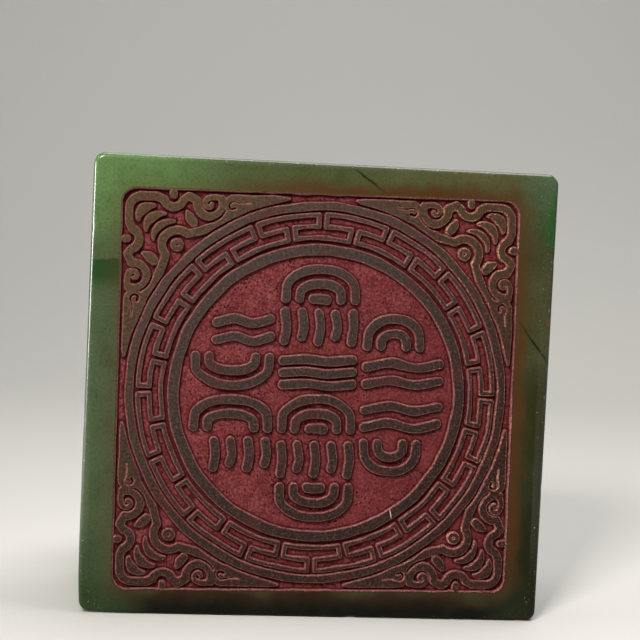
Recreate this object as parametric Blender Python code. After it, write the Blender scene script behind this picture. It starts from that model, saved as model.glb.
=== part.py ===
"""A carved jade seal with a guardian lion for its knob, all cut from one stone.

The seal rests on one flank. Its carved face looks along -Y, the lion stands out of the block's back
along +Y, and Z runs up the face. All lengths are in metres. The origin is on the ground, under the
middle of the seal.

The face is cut as a plan of raised lines: a rim, two rings with a key-fret between them, scrolls in the
four corners and rows of strokes in the round field. The plan is a signed distance, less than nought on
what stands up, and the ground between is cut down to one depth with sloping walls. The lion is built
like clay, from round masses blended on a grid of distances.
"""
import math

import bpy
import numpy as np
from mathutils.geometry import delaunay_2d_cdt

# Block
FACE_WIDTH = 0.100
FACE_HEIGHT = 0.098
BLOCK_DEPTH = 0.042
CORNER_RADIUS = 0.0022
EDGE_RADIUS = 0.0010

# Carved panel, which sits a little off the block's middle, as its carver left it
RIM_WIDTH = 0.0063
PANEL_CORNER_RADIUS = 0.003
PANEL_SHIFT_X = -0.0006
PANEL_SHIFT_Z = -0.0004
PANEL_TURN = math.radians(0.7)
CARVING_DEPTH = 0.0012
WALL_RUN = 0.00024

# Rings and key-fret, from the panel's edge inward
BORDER_GROOVE = 0.0016
OUTER_RING_WIDTH = 0.00165
RING_GROOVE = 0.00068
FRET_LINE = 0.00078
FRET_RISE = 0.00245
FRET_STEM_GAP = 0.0017
FRET_TURNS = 16
INNER_GROOVE = 0.0011
INNER_RING_WIDTH = 0.00215

# Strokes of the round field
STROKE_WIDTH = 0.0018
STROKE_GAP = 0.0012
COLUMN_WIDTH = 0.0168
SIDE_COLUMN_INSET = 0.01264
PLACE_GAP = 0.0018
FIELD_MARGIN = 0.0012

# Knob
PLINTH_LENGTH = 0.088
PLINTH_WIDTH = 0.064
PLINTH_HEIGHT = 0.004
PLINTH_CORNER_RADIUS = 0.004
LION_HEIGHT = 0.050
SINK = 0.0008

# Fineness of the facets
PLAN_STEP = 0.0002
PLAN_TOLERANCE = 0.00022
SMALLEST_FLOOR = 0.0000010
CLAY_STEP = 0.0010
LION_TRIANGLES = 2500
CORNER_FACETS = 4
EDGE_FACETS = 3

SEAL_DEPTH = BLOCK_DEPTH + PLINTH_HEIGHT + LION_HEIGHT
FACE_Y = -SEAL_DEPTH / 2
BACK_Y = FACE_Y + BLOCK_DEPTH
PLINTH_TOP_Y = BACK_Y + PLINTH_HEIGHT
MIDDLE_Z = FACE_HEIGHT / 2

PANEL_HALF = min(FACE_WIDTH, FACE_HEIGHT) / 2 - RIM_WIDTH
OUTER_RING_RADIUS = PANEL_HALF - BORDER_GROOVE - OUTER_RING_WIDTH / 2
FRET_OUTER_RADIUS = OUTER_RING_RADIUS - OUTER_RING_WIDTH / 2 - RING_GROOVE - FRET_LINE / 2
FRET_MIDDLE_RADIUS = FRET_OUTER_RADIUS - FRET_RISE
FRET_INNER_RADIUS = FRET_MIDDLE_RADIUS - FRET_RISE
INNER_RING_RADIUS = FRET_INNER_RADIUS - FRET_LINE / 2 - INNER_GROOVE - INNER_RING_WIDTH / 2
FIELD_RADIUS = INNER_RING_RADIUS - INNER_RING_WIDTH / 2
SIDE_COLUMN_REACH = FIELD_RADIUS - SIDE_COLUMN_INSET

# The corner scrolls are drawn in units, 42.7 of them from the panel's middle to its edge
SPAN = 42.7
ORNAMENT_UNIT = PANEL_HALF / SPAN
EDGE_LINE = 0.7
RING_LINE = 0.75
RIBBON_HALF = 0.8
SCROLL = (18.4, 2.7)
SCROLL_RADIUS = 2.75
EYE_PLACE = 11.75
ARCH_RADIUS = 3.25

# The lion is shaped in units too, 50 of them high
FIGURE_HEIGHT = 50
HEAD_TURN = math.radians(28)


def remove_everything():
    """Start from an empty scene."""
    for thing in list(bpy.data.objects):
        bpy.data.objects.remove(thing)


def arc(centre, radius, start, end, count):
    """Points on a circle from one angle to another, both in degrees, anticlockwise when rising."""
    angles = np.radians(np.linspace(start, end, count))
    return np.array(centre) + radius * np.column_stack((np.cos(angles), np.sin(angles)))


def smooth_through(points, steps):
    """A Catmull-Rom curve through the given points."""
    points = np.array(points, float)
    before = np.vstack((2 * points[0] - points[1], points[:-1]))
    after = np.vstack((points[1:], 2 * points[-1] - points[-2]))
    slopes = (after - before) / 2
    pieces = []
    for start, end, leave, reach in zip(points[:-1], points[1:], slopes[:-1], slopes[1:]):
        t = np.linspace(0, 1, steps, endpoint=False)[:, None]
        pieces.append((2 * t**3 - 3 * t**2 + 1) * start + (t**3 - 2 * t**2 + t) * leave
                      + (3 * t**2 - 2 * t**3) * end + (t**3 - t**2) * reach)
    return np.vstack(pieces + [points[-1:]])


def fret_line():
    """The key-fret: one raised line that turns out and in round the ring, closed on itself.

    Each turn runs out beside one stem of ground, along the outer radius, back in beside the next, half
    way back along the middle radius, and the same again on the inner side.
    """
    pitch = 2 * math.pi / FRET_TURNS
    outer_gap = FRET_STEM_GAP / (FRET_OUTER_RADIUS + FRET_MIDDLE_RADIUS)
    inner_gap = FRET_STEM_GAP / (FRET_INNER_RADIUS + FRET_MIDDLE_RADIUS)
    corners = []
    for turn in range(FRET_TURNS):
        stem = turn * pitch
        corners += [
            (stem + outer_gap, FRET_MIDDLE_RADIUS),
            (stem + outer_gap, FRET_OUTER_RADIUS),
            (stem + pitch - outer_gap, FRET_OUTER_RADIUS),
            (stem + pitch - outer_gap, FRET_MIDDLE_RADIUS),
            (stem + pitch / 2 + inner_gap, FRET_MIDDLE_RADIUS),
            (stem + pitch / 2 + inner_gap, FRET_INNER_RADIUS),
            (stem + 1.5 * pitch - inner_gap, FRET_INNER_RADIUS),
            (stem + 1.5 * pitch - inner_gap, FRET_MIDDLE_RADIUS),
        ]
    corners.append((2 * math.pi + outer_gap, FRET_MIDDLE_RADIUS))
    corners = np.array(corners)
    finer = [np.linspace(start, end, 8, endpoint=False) for start, end in zip(corners[:-1], corners[1:])]
    angle, radius = np.vstack(finer + [corners[-1:]]).T
    return np.column_stack((radius * np.sin(angle), radius * np.cos(angle)))


def corner_half():
    """One half of a corner's scrolls as (points, half widths) strokes, in ornament units.

    The first number of a point runs along the panel's edge from its corner, the second inward.
    """
    edge = EDGE_LINE + RIBBON_HALF
    turn = 4.25
    arch = (10.7, 1.6)
    ribbon = np.vstack((
        arc((turn, turn), turn - edge, 225, 270, 5),
        [(7.2, edge)],
        arc(arch, 2.15, 165, 15, 9),
        [(13.9, 1.3)],
        arc(SCROLL, SCROLL_RADIUS, 190, -20, 11),
    ))
    strokes = [(ribbon, np.full(len(ribbon), RIBBON_HALF))]
    angles = np.radians(np.linspace(-20, -350, 14))
    radii = np.interp(angles, np.radians((-350, -270, -180, -90, -55, -20)), (0.45, 0.8, 1.0, 1.15, 1.6, 2.6))
    curl = np.array(SCROLL) + radii[:, None] * np.column_stack((np.cos(angles), np.sin(angles)))
    strokes.append((curl, np.linspace(0.55, 0.40, len(curl))))
    strokes.append(([(arch[0], EDGE_LINE), (arch[0], 1.15)], (0.75, 0.70)))
    leaf = smooth_through([(13.7, 4.8), (14.3, 6.0), (15.1, 6.9)], 3)
    strokes.append((leaf, np.interp(range(len(leaf)), (0, 3, 6), (0.35, 0.95, 0.85))))

    ring = SPAN - BORDER_GROOVE / ORNAMENT_UNIT + RING_LINE
    angles = np.radians(np.linspace(10, 27, 7))
    inner = SPAN - ring * np.cos(angles)
    wedge = np.column_stack((SPAN - ring * np.sin(angles), (inner + EDGE_LINE) / 2))
    strokes.append((wedge, np.minimum((inner - EDGE_LINE) / 2, np.linspace(0.2, 3.0, 7))))

    ring += RIBBON_HALF
    angles = np.radians(np.linspace(20, 36, 9))
    tail = np.column_stack((SPAN - ring * np.sin(angles), SPAN - ring * np.cos(angles)))
    band = np.vstack((tail, arc((EYE_PLACE, EYE_PLACE), ARCH_RADIUS, 310, 225, 7)))
    strokes.append((band, np.full(len(band), RIBBON_HALF)))
    strokes.append(([(EYE_PLACE - 0.02, EYE_PLACE), (EYE_PLACE + 0.02, EYE_PLACE)], (1.3, 1.3)))
    for place, radius, half in ((4.3, 2.9, 1.05), (6.1, 3.3, 0.95), (7.8, 3.6, 0.75)):
        middle = place + radius / math.sqrt(2)
        crescent = arc((middle, middle), radius, 225, 278, 7)
        strokes.append((crescent, np.linspace(1, 0, 7) ** 0.8 * (half - 0.25) + 0.25))
    return strokes


def corner_grooves():
    """Strokes that take stone away: the hook in the wedge, and the line between scroll and band."""
    hook = smooth_through([(27.0, 2.35), (24.9, 2.5), (23.3, 2.2), (22.5, 2.9), (22.9, 3.8), (23.8, 3.6)], 2)
    line = smooth_through([(17.6, 6.85), (19.4, 6.3), (20.8, 5.4), (21.6, 4.3)], 2)
    return [(hook, np.interp(range(len(hook)), (0, 4, 10), (0.12, 0.25, 0.4))),
            (line, np.linspace(0.35, 0.28, len(line)))]


def in_corners(half):
    """The four corners' strokes in panel coordinates, each half mirrored about its diagonal."""
    strokes = []
    for points, halves in half:
        points = np.array(points) * ORNAMENT_UNIT - PANEL_HALF
        halves = np.array(halves) * ORNAMENT_UNIT
        for across in (points, points[:, ::-1]):
            for side in ((1, 1), (-1, 1), (1, -1), (-1, -1)):
                strokes.append((across * side, halves))
    return strokes


def hill(width, height):
    """An arch, with a lower one under it where there is room."""
    strokes = []
    while width > 2.4 * STROKE_WIDTH and height > STROKE_WIDTH:
        reach = width / 2 - STROKE_WIDTH / 2
        rise = height - STROKE_WIDTH
        strokes.append(smooth_through([(-reach, 0), (-0.92 * reach, 0.6 * rise), (-0.4 * reach, rise),
                                       (0.4 * reach, rise), (0.92 * reach, 0.6 * rise), (reach, 0)], 3))
        width -= 2 * (STROKE_WIDTH + STROKE_GAP)
        height -= STROKE_WIDTH + STROKE_GAP
    return [stroke + (0, STROKE_WIDTH / 2) for stroke in strokes]


def trough(width, height):
    """A hanging arch, with a shorter one in it."""
    return [(0, height) - stroke for stroke in hill(width, height)]


def waves(width, height):
    """Wavy lines, one over the other."""
    reach = width / 2 - STROKE_WIDTH / 2
    count = int((height + STROKE_GAP) / (STROKE_WIDTH + STROKE_GAP))
    pitch = height / count
    lift = (pitch - STROKE_WIDTH) / 4
    lines = []
    for line in range(count):
        middle = (line + 0.5) * pitch
        lines.append(smooth_through([(-reach, middle - lift), (-reach / 3, middle + lift),
                                     (reach / 3, middle - lift), (reach, middle + lift)], 3))
    return lines


def rain(width, height):
    """Bent drops side by side, every second one shorter."""
    count = round((width + STROKE_GAP) / (STROKE_WIDTH + 1.4 * STROKE_GAP))
    sway = STROKE_GAP / 6
    reach = width / 2 - STROKE_WIDTH / 2 - sway
    drops = []
    for drop in range(count):
        x = reach * (2 * drop / (count - 1) - 1)
        foot = STROKE_WIDTH / 2 + (drop % 2) * STROKE_WIDTH * 0.6
        drops.append(smooth_through([(x - sway, foot), (x + sway, height / 2),
                                     (x - sway, height - STROKE_WIDTH / 2)], 3))
    return drops


def field_strokes():
    """Rows of raised strokes in the round field: hills, waves and rain, which are no letters.

    Three columns of places fill the circle, three in the middle and two at each side. A place holds two
    rows of strokes, and a side row reaches as far out as the circle lets it.
    """
    room = FIELD_RADIUS - FIELD_MARGIN
    inner = COLUMN_WIDTH / 2 + STROKE_GAP
    middle_reach = math.sqrt(room**2 - (COLUMN_WIDTH / 2)**2)
    columns = ((-room, -inner, SIDE_COLUMN_REACH, 2),
               (-COLUMN_WIDTH / 2, COLUMN_WIDTH / 2, middle_reach, 3),
               (inner, room, SIDE_COLUMN_REACH, 2))
    motifs = ((rain, hill), (trough, waves), (waves, hill), (trough, rain), (hill, waves))
    strokes = []
    for column, (left, right, reach, places) in enumerate(columns):
        pitch = (2 * reach + PLACE_GAP) / places
        height = (pitch - PLACE_GAP - STROKE_GAP) / 2
        for place in range(places):
            for row, motif in enumerate(motifs[(3 * column + place) % len(motifs)]):
                foot = -reach + place * pitch + row * (height + STROKE_GAP)
                chord = math.sqrt(room**2 - max(abs(foot), abs(foot + height))**2)
                start, end = max(left, -chord), min(right, chord)
                for points in motif(end - start, height):
                    points = points + ((start + end) / 2, foot)
                    strokes.append((points, np.full(len(points), STROKE_WIDTH / 2)))
    return strokes


def stamp(plan, axis, points, halves, cut=False):
    """Lower the plan to the distance from one stroke, within reach of it, or raise it where it cuts."""
    reach = PANEL_CORNER_RADIUS
    for (ax, az), (bx, bz), half_a, half_b in zip(points[:-1], points[1:], halves[:-1], halves[1:]):
        margin = reach + max(half_a, half_b)
        i0, i1 = np.searchsorted(axis, (min(ax, bx) - margin, max(ax, bx) + margin))
        j0, j1 = np.searchsorted(axis, (min(az, bz) - margin, max(az, bz) + margin))
        x = axis[None, i0:i1]
        z = axis[j0:j1, None]
        run = (bx - ax, bz - az)
        square = run[0]**2 + run[1]**2
        share = np.clip(((x - ax) * run[0] + (z - az) * run[1]) / square, 0, 1)
        away = np.hypot(x - ax - share * run[0], z - az - share * run[1])
        away -= half_a + share * (half_b - half_a)
        part = plan[j0:j1, i0:i1]
        plan[j0:j1, i0:i1] = np.maximum(part, -away) if cut else np.minimum(part, away)


def carving_plan():
    """The whole plan sampled over the panel: its axis values, and the distances [z, x]."""
    reach = PANEL_HALF + 4 * PLAN_STEP
    count = 2 * int(reach / PLAN_STEP) + 1
    axis = np.linspace(-reach, reach, count)
    x = axis[None, :]
    z = axis[:, None]
    straight = PANEL_HALF - PANEL_CORNER_RADIUS
    over_x = np.abs(x) - straight
    over_z = np.abs(z) - straight
    outside = np.hypot(np.maximum(over_x, 0), np.maximum(over_z, 0))
    plan = PANEL_CORNER_RADIUS - outside - np.minimum(np.maximum(over_x, over_z), 0)
    radius = np.hypot(x, z)
    plan = np.minimum(plan, np.abs(radius - OUTER_RING_RADIUS) - OUTER_RING_WIDTH / 2)
    plan = np.minimum(plan, np.abs(radius - INNER_RING_RADIUS) - INNER_RING_WIDTH / 2)
    line = fret_line()
    stamp(plan, axis, line, np.full(len(line), FRET_LINE / 2))
    for points, halves in in_corners(corner_half()) + field_strokes():
        stamp(plan, axis, points, halves)
    for points, halves in in_corners(corner_grooves()):
        stamp(plan, axis, points, halves, cut=True)
    return axis, plan


# For each set of corners under the level (1, 2, 4, 8 anticlockwise from the lower left), the cell's
# sides that a line enters and leaves by, with what is under the level on its left. Sides: 0 lower,
# 1 right, 2 upper, 3 left.
CELL_LINES = {1: ((0, 3),), 2: ((1, 0),), 3: ((1, 3),), 4: ((2, 1),), 5: ((0, 3), (2, 1)), 6: ((2, 0),),
              7: ((2, 3),), 8: ((3, 2),), 9: ((0, 2),), 10: ((1, 0), (3, 2)), 11: ((1, 2),), 12: ((3, 1),),
              13: ((0, 1),), 14: ((3, 0),)}


def level_loops(axis, plan, level):
    """Closed loops along which the plan has one value, by marching squares."""
    low = plan < level
    cells = (low[:-1, :-1] + 2 * low[:-1, 1:] + 4 * low[1:, 1:] + 8 * low[1:, :-1]).astype(int)
    size = len(axis)
    following = {}
    for j, i in np.argwhere((cells > 0) & (cells < 15)):
        sides = (j * size + i, size**2 + j * size + i + 1, (j + 1) * size + i, size**2 + j * size + i)
        for start, end in CELL_LINES[cells[j, i]]:
            following[sides[start]] = sides[end]
    loops = []
    while following:
        first, side = following.popitem()
        chain = [first]
        while side != first:
            chain.append(side)
            side = following.pop(side)
        loops.append(crossing_points(np.array(chain), axis, plan, level))
    return loops


def crossing_points(sides, axis, plan, level):
    """Where the level crosses each listed side of the plan's cells."""
    size = len(axis)
    upright = sides >= size**2
    j, i = np.divmod(np.where(upright, sides - size**2, sides), size)
    here = plan[j, i]
    there = plan[j + upright, i + ~upright]
    share = (level - here) / (there - here)
    step = axis[1] - axis[0]
    return np.column_stack((axis[i] + share * step * ~upright, axis[j] + share * step * upright))


def simplified(loop, tolerance):
    """A closed loop with no more points than its shape needs (Douglas-Peucker)."""
    far = int(np.argmax(np.hypot(*(loop - loop[0]).T)))
    closed = np.vstack((loop, loop[:1]))
    keep = {0, far}
    spans = [(0, far), (far, len(loop))]
    while spans:
        start, end = spans.pop()
        if end - start < 2:
            continue
        run = closed[end] - closed[start]
        rest = closed[start + 1:end] - closed[start]
        length = math.hypot(*run)
        away = np.abs(rest @ (-run[1], run[0])) / length if length > 0 else np.hypot(*rest.T)
        worst = int(np.argmax(away))
        if away[worst] > tolerance:
            split = start + 1 + worst
            keep.add(split)
            spans += [(start, split), (split, end)]
    return loop[sorted(keep)]


def loop_area(loop):
    """The area inside a closed loop."""
    x, z = loop.T
    return (x @ np.roll(z, -1) - z @ np.roll(x, -1)) / 2


def rounded_outline(width, height, radius, inset):
    """A rounded rectangle about the origin, anticlockwise, drawn in by an inset."""
    points = []
    for corner in range(4):
        side_x = (1, -1, -1, 1)[corner]
        side_z = (1, 1, -1, -1)[corner]
        centre = (side_x * (width / 2 - radius), side_z * (height / 2 - radius))
        points.append(arc(centre, radius - inset, 90 * corner, 90 * corner + 90, CORNER_FACETS + 1))
    return np.vstack(points)


def slab_rings(width, height, corner_radius, front, back, edge):
    """Outline rings of a slab from its front face to its back, rounded along both edges."""
    steps = np.linspace(0, math.pi / 2, EDGE_FACETS + 1)
    corner_radius = max(corner_radius, 1.2 * edge)
    rings = []
    for angle in steps:
        inset = edge * (1 - math.sin(angle))
        outline = rounded_outline(width, height, corner_radius, inset)
        rings.append((outline, front + edge * (1 - math.cos(angle))))
    for angle in steps[::-1]:
        inset = edge * (1 - math.sin(angle))
        outline = rounded_outline(width, height, corner_radius, inset)
        rings.append((outline, back - edge * (1 - math.cos(angle))))
    return rings


def skin(vertices, faces, rings, first):
    """Append the rings' points after the first ring, whose points are listed, and the skin between."""
    around = list(first)
    for outline, y in rings[1:]:
        start = len(vertices)
        vertices += [(x, y, z) for x, z in outline]
        ring = list(range(start, start + len(outline)))
        for k in range(len(ring)):
            after = (k + 1) % len(ring)
            faces.append((around[k], ring[k], ring[after], around[after]))
        around = ring
    return around


def mesh_object(name, vertices, faces):
    """A new object in the scene with the given mesh."""
    mesh = bpy.data.meshes.new(name)
    mesh.from_pydata([tuple(map(float, v)) for v in vertices], [], faces)
    mesh.validate()
    thing = bpy.data.objects.new(name, mesh)
    bpy.context.scene.collection.objects.link(thing)
    return thing


def carved_block():
    """The block with its carved face: the face triangulated between the plan's loops, and a skin."""
    rings = slab_rings(FACE_WIDTH, FACE_HEIGHT, CORNER_RADIUS, FACE_Y, BACK_Y, EDGE_RADIUS)
    outline = rings[0][0]
    points = [tuple(p) for p in outline]
    heights = [0.0] * len(points)
    edges = [(k, (k + 1) % len(points)) for k in range(len(points))]
    axis, plan = carving_plan()
    turn = np.array(((math.cos(PANEL_TURN), -math.sin(PANEL_TURN)),
                     (math.sin(PANEL_TURN), math.cos(PANEL_TURN))))
    for level, height in ((0.0, 0.0), (WALL_RUN, CARVING_DEPTH)):
        for loop in level_loops(axis, plan, level):
            if abs(loop_area(loop)) < SMALLEST_FLOOR:
                continue
            loop = simplified(loop, PLAN_TOLERANCE)
            placed = loop @ turn.T + (PANEL_SHIFT_X, PANEL_SHIFT_Z)
            start = len(points)
            points += [tuple(p) for p in placed]
            heights += [height] * len(placed)
            edges += [(start + k, start + (k + 1) % len(placed)) for k in range(len(placed))]

    flat, _, triangles, sources, _, _ = delaunay_2d_cdt(points, edges, [], 0, 1e-7)
    place = {source: k for k, found in enumerate(sources) for source in found}
    depth = [min((heights[s] for s in found), default=0.0) for found in sources]
    vertices = [(p[0], FACE_Y + d, p[1] + MIDDLE_Z) for p, d in zip(flat, depth)]
    faces = [tuple(triangle) for triangle in triangles]
    lifted = [(ring + (0, MIDDLE_Z), y) for ring, y in rings]
    last = skin(vertices, faces, lifted, [place[k] for k in range(len(outline))])
    faces.append(tuple(last[::-1]))
    return mesh_object("seal", vertices, faces)


def plinth():
    """The low plinth behind the block, sunk a little into it."""
    rings = slab_rings(PLINTH_LENGTH, PLINTH_WIDTH, PLINTH_CORNER_RADIUS, BACK_Y - 2 * SINK,
                       PLINTH_TOP_Y, SINK)
    lifted = [(ring + (0, MIDDLE_Z), y) for ring, y in rings]
    vertices = [(x, lifted[0][1], z) for x, z in lifted[0][0]]
    faces = [tuple(range(len(vertices)))]
    last = skin(vertices, faces, lifted, list(range(len(vertices))))
    faces.append(tuple(last[::-1]))
    return mesh_object("plinth_form", vertices, faces)


class Clay:
    """Round masses blended on a grid of signed distances, in figure units (the lion is 50 high).

    Places are (forward, side, up). A turned form is placed and turned about the neck's upright axis.
    """

    low = np.array((-45.0, -33.0, -3.0))
    high = np.array((46.0, 33.0, 53.0))
    neck = 12.0

    def __init__(self, step):
        self.step = step
        self.axes = [np.arange(a, b + step, step) for a, b in zip(self.low, self.high)]
        self.field = np.full([len(axis) for axis in self.axes], 8.0)

    def window(self, place, reach, turn):
        """The part of the grid near a place, as slices and as coordinates in the form's own frame."""
        forward, side, up = place
        cos, sin = math.cos(turn), math.sin(turn)
        middle = (self.neck + cos * (forward - self.neck) - sin * side,
                  sin * (forward - self.neck) + cos * side, up)
        slices = []
        for axis, centre in zip(self.axes, middle):
            start, end = np.searchsorted(axis, (centre - reach, centre + reach))
            slices.append(slice(start, end))
        x, y, z = np.meshgrid(*(axis[part] for axis, part in zip(self.axes, slices)), indexing="ij",
                              sparse=True)
        x = x - middle[0]
        y = y - middle[1]
        return tuple(slices), (cos * x + sin * y, cos * y - sin * x, z - middle[2])

    def blend(self, part, distance, softness):
        """Smooth union of a form with what is there."""
        here = self.field[part]
        overlap = np.maximum(softness - np.abs(here - distance), 0) / softness
        self.field[part] = np.minimum(here, distance) - overlap**2 * softness / 4

    def carve(self, part, distance, softness):
        """Smooth cut of a form from what is there."""
        here = self.field[part]
        overlap = np.maximum(softness - np.abs(here + distance), 0) / softness
        self.field[part] = np.maximum(here, -distance) + overlap**2 * softness / 4

    def ball(self, place, radii, softness=2.0, turn=0.0, cut=False):
        """An ellipsoid, added or cut."""
        part, (x, y, z) = self.window(place, max(radii) + softness + 3, turn)
        scaled = np.sqrt((x / radii[0])**2 + (y / radii[1])**2 + (z / radii[2])**2)
        slope = np.sqrt((x / radii[0]**2)**2 + (y / radii[1]**2)**2 + (z / radii[2]**2)**2)
        distance = scaled * (scaled - 1) / np.maximum(slope, 1e-6)
        (self.carve if cut else self.blend)(part, distance, softness)

    def limb(self, places, radii, softness=2.0, turn=0.0, cut=False):
        """A tapering round limb along a few places, added or cut."""
        for start, end, fat, thin in zip(places[:-1], places[1:], radii[:-1], radii[1:]):
            middle = [(a + b) / 2 for a, b in zip(start, end)]
            run = [(b - a) / 2 for a, b in zip(start, end)]
            half = math.sqrt(sum(r * r for r in run))
            part, (x, y, z) = self.window(middle, half + max(fat, thin) + softness + 2, turn)
            share = np.clip((x * run[0] + y * run[1] + z * run[2]) / half**2, -1, 1)
            away = np.sqrt((x - share * run[0])**2 + (y - share * run[1])**2 + (z - share * run[2])**2)
            distance = away - (fat + thin) / 2 - share * (thin - fat) / 2
            (self.carve if cut else self.blend)(part, distance, softness)


def lion_clay(step):
    """The lion lying with its legs drawn in and its head turned to its left."""
    clay = Clay(step)
    body(clay)
    for side in (1, -1):
        legs(clay, side)
    tail(clay)
    mane(clay)
    head(clay)
    return clay


def body(clay):
    """Torso, chest and rump, with a ridge of knobs along the spine."""
    clay.limb([(-18, 0, 16), (12, 0, 18)], (15.0, 15.0))
    clay.ball((-24, 0, 14), (14, 17, 14), 4)
    clay.ball((18, 0, 18), (12, 14, 18), 4)
    clay.limb([(-22, 0, -2), (20, 0, -2)], (16, 15), 3)
    for knob in range(6):
        clay.ball((-23 + 5.2 * knob, 0, 30.3 + 0.45 * knob), (2.6, 2.7, 2.6), 0.6)


def legs(clay, side):
    """Haunch and hind foot, shoulder, foreleg and forepaw of one side, with toes."""
    clay.ball((-19, 14 * side, 12), (15, 9.5, 13), 1.6)
    clay.limb([(-14, 20 * side, 3.4), (0, 20.5 * side, 3.2)], (4.6, 4.2), 1.2)
    for toe in (-1, 0, 1):
        clay.ball((3.4, (20.6 + 2.8 * toe) * side, 2.8), (4.4, 1.9, 3.2), 0.5)
    clay.ball((7, 13 * side, 15), (9.5, 7.5, 12), 1.6)
    clay.limb([(6, 17 * side, 6), (25, 14.5 * side, 4.6)], (6.2, 4.8), 1.2)
    clay.ball((30, 14 * side, 4.0), (6, 5.4, 4.6), 1.2)
    for toe in (-1.5, -0.5, 0.5, 1.5):
        clay.ball((34, (14 + 2.7 * toe) * side, 3.2), (4.6, 1.8, 3.5), 0.5)


def tail(clay):
    """A tail laid up over the rump, spread in five flame locks."""
    clay.limb([(-36, 0, 6), (-38, 0, 16), (-35, 0, 25)], (4.2, 4.2, 3.8), 1.5)
    for lock in range(5):
        spread = (lock - 2) * 5.0
        lift = 33.5 - 0.09 * spread**2
        clay.limb([(-36, spread * 0.3, 22), (-31, spread * 0.9, lift - 4), (-22, spread * 1.15, lift - 3),
                   (-17 + abs(spread) * 0.35, spread * 1.3, lift - 2.2)], (3.4, 3.2, 2.6, 1.2), 0.7)


def mane(clay):
    """Rows of round curls about the face, down the neck and over the chest."""
    clay.ball((13, 0, 29), (15, 17, 16), 3, HEAD_TURN / 2)
    rows = ((24, 14.0, 11, 118, HEAD_TURN), (16, 16.5, 11, 118, HEAD_TURN * 0.8),
            (7, 16.0, 9, 100, HEAD_TURN * 0.5), (0, 13.5, 7, 80, HEAD_TURN * 0.2))
    for forward, radius, count, spread, turn in rows:
        for angle in np.radians(np.linspace(-spread, spread, count)):
            place = (forward, radius * math.sin(angle), 30.5 + radius * math.cos(angle))
            clay.ball(place, (4.3, 4.3, 4.3), 0.6, turn)
    for row, count in ((0, 3), (1, 4), (2, 3)):
        for k in range(count):
            side = (k - (count - 1) / 2) * 6.0
            clay.ball((29.5 - 0.03 * side**2 - row * 0.6, side, 19 - 5.2 * row), (3.6, 3.4, 3.4), 0.6)


def head(clay):
    """Skull, brows, eyes, muzzle, open jaws, cheeks and ears."""
    turn = HEAD_TURN
    clay.ball((25, 0, 34.5), (12.5, 13, 12), 2.5, turn)
    clay.ball((37.0, 0, 30.0), (7, 8.6, 5.6), 1.5, turn)
    clay.limb([(33, 0, 40), (41, 0, 34.8)], (3.4, 2.8), 1.5, turn)
    clay.ball((42.6, 0, 33.8), (3.0, 4.3, 2.7), 0.8, turn)
    clay.ball((36, 0, 22.6), (6.6, 7.2, 3.4), 1.2, turn)
    clay.ball((31, 0, 18.5), (5.0, 6.5, 5.0), 1.2, turn)
    clay.ball((41, 0, 26.2), (7.5, 7.2, 1.7), 0.6, turn, cut=True)
    clay.ball((33.5, 0, 45.0), (3.4, 3.2, 3.0), 1.0, turn)
    for side in (1, -1):
        clay.ball((40.5, 4.3 * side, 29.8), (4.6, 4.7, 4.4), 0.8, turn)
        clay.ball((30, 10.5 * side, 27.5), (6, 4.5, 6), 1.0, turn)
        clay.limb([(37.5, 2.4 * side, 40.0), (37, 6.5 * side, 42.4), (32, 11 * side, 41)],
                  (1.8, 2.4, 1.5), 0.6, turn)
        clay.ball((36.6, 6.2 * side, 37.0), (2.7, 3.2, 3.0), 0.3, turn)
        clay.ball((20, 14.5 * side, 42.5), (4.6, 2.8, 5.4), 0.8, turn)
        clay.ball((23, 16.0 * side, 42.5), (2.4, 2.2, 3.4), 0.6, turn, cut=True)


def fill_pinches(field):
    """Fill the grid points at which the surface would touch itself, until none is left.

    Those are faces of the grid with two opposite corners inside, and cells with only two opposite
    corners inside or outside.
    """
    faces = [np.array(corners) for corners in (((0, 0, 0), (1, 0, 0), (1, 1, 0), (0, 1, 0)),
                                               ((0, 0, 0), (1, 0, 0), (1, 0, 1), (0, 0, 1)),
                                               ((0, 0, 0), (0, 1, 0), (0, 1, 1), (0, 0, 1)))]
    cell = np.array([(a, b, c) for a in (0, 1) for b in (0, 1) for c in (0, 1)])
    changed = True
    while changed:
        inside = field < 0
        fill = np.zeros(field.shape, bool)
        for corners in faces:
            views = [corner_view(inside, corner, corners.max(axis=0)) for corner in corners]
            bad = (views[0] == views[2]) & (views[1] == views[3]) & (views[0] != views[1])
            for corner in corners:
                corner_view(fill, corner, corners.max(axis=0))[bad] = True
        views = [corner_view(inside, corner, (1, 1, 1)) for corner in cell]
        count = sum(view.astype(int) for view in views)
        for k in range(4):
            same = views[k] == views[7 - k]
            bad = same & (((count == 2) & views[k]) | ((count == 6) & ~views[k]))
            for corner in cell:
                corner_view(fill, corner, (1, 1, 1))[bad] = True
        fill &= ~inside
        field[fill] = -0.15
        changed = bool(fill.any())


def corner_view(grid, corner, reach):
    """The grid seen from one corner of each cell or face."""
    return grid[tuple(slice(c, n - r + c) for c, n, r in zip(corner, grid.shape, reach))]


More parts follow.
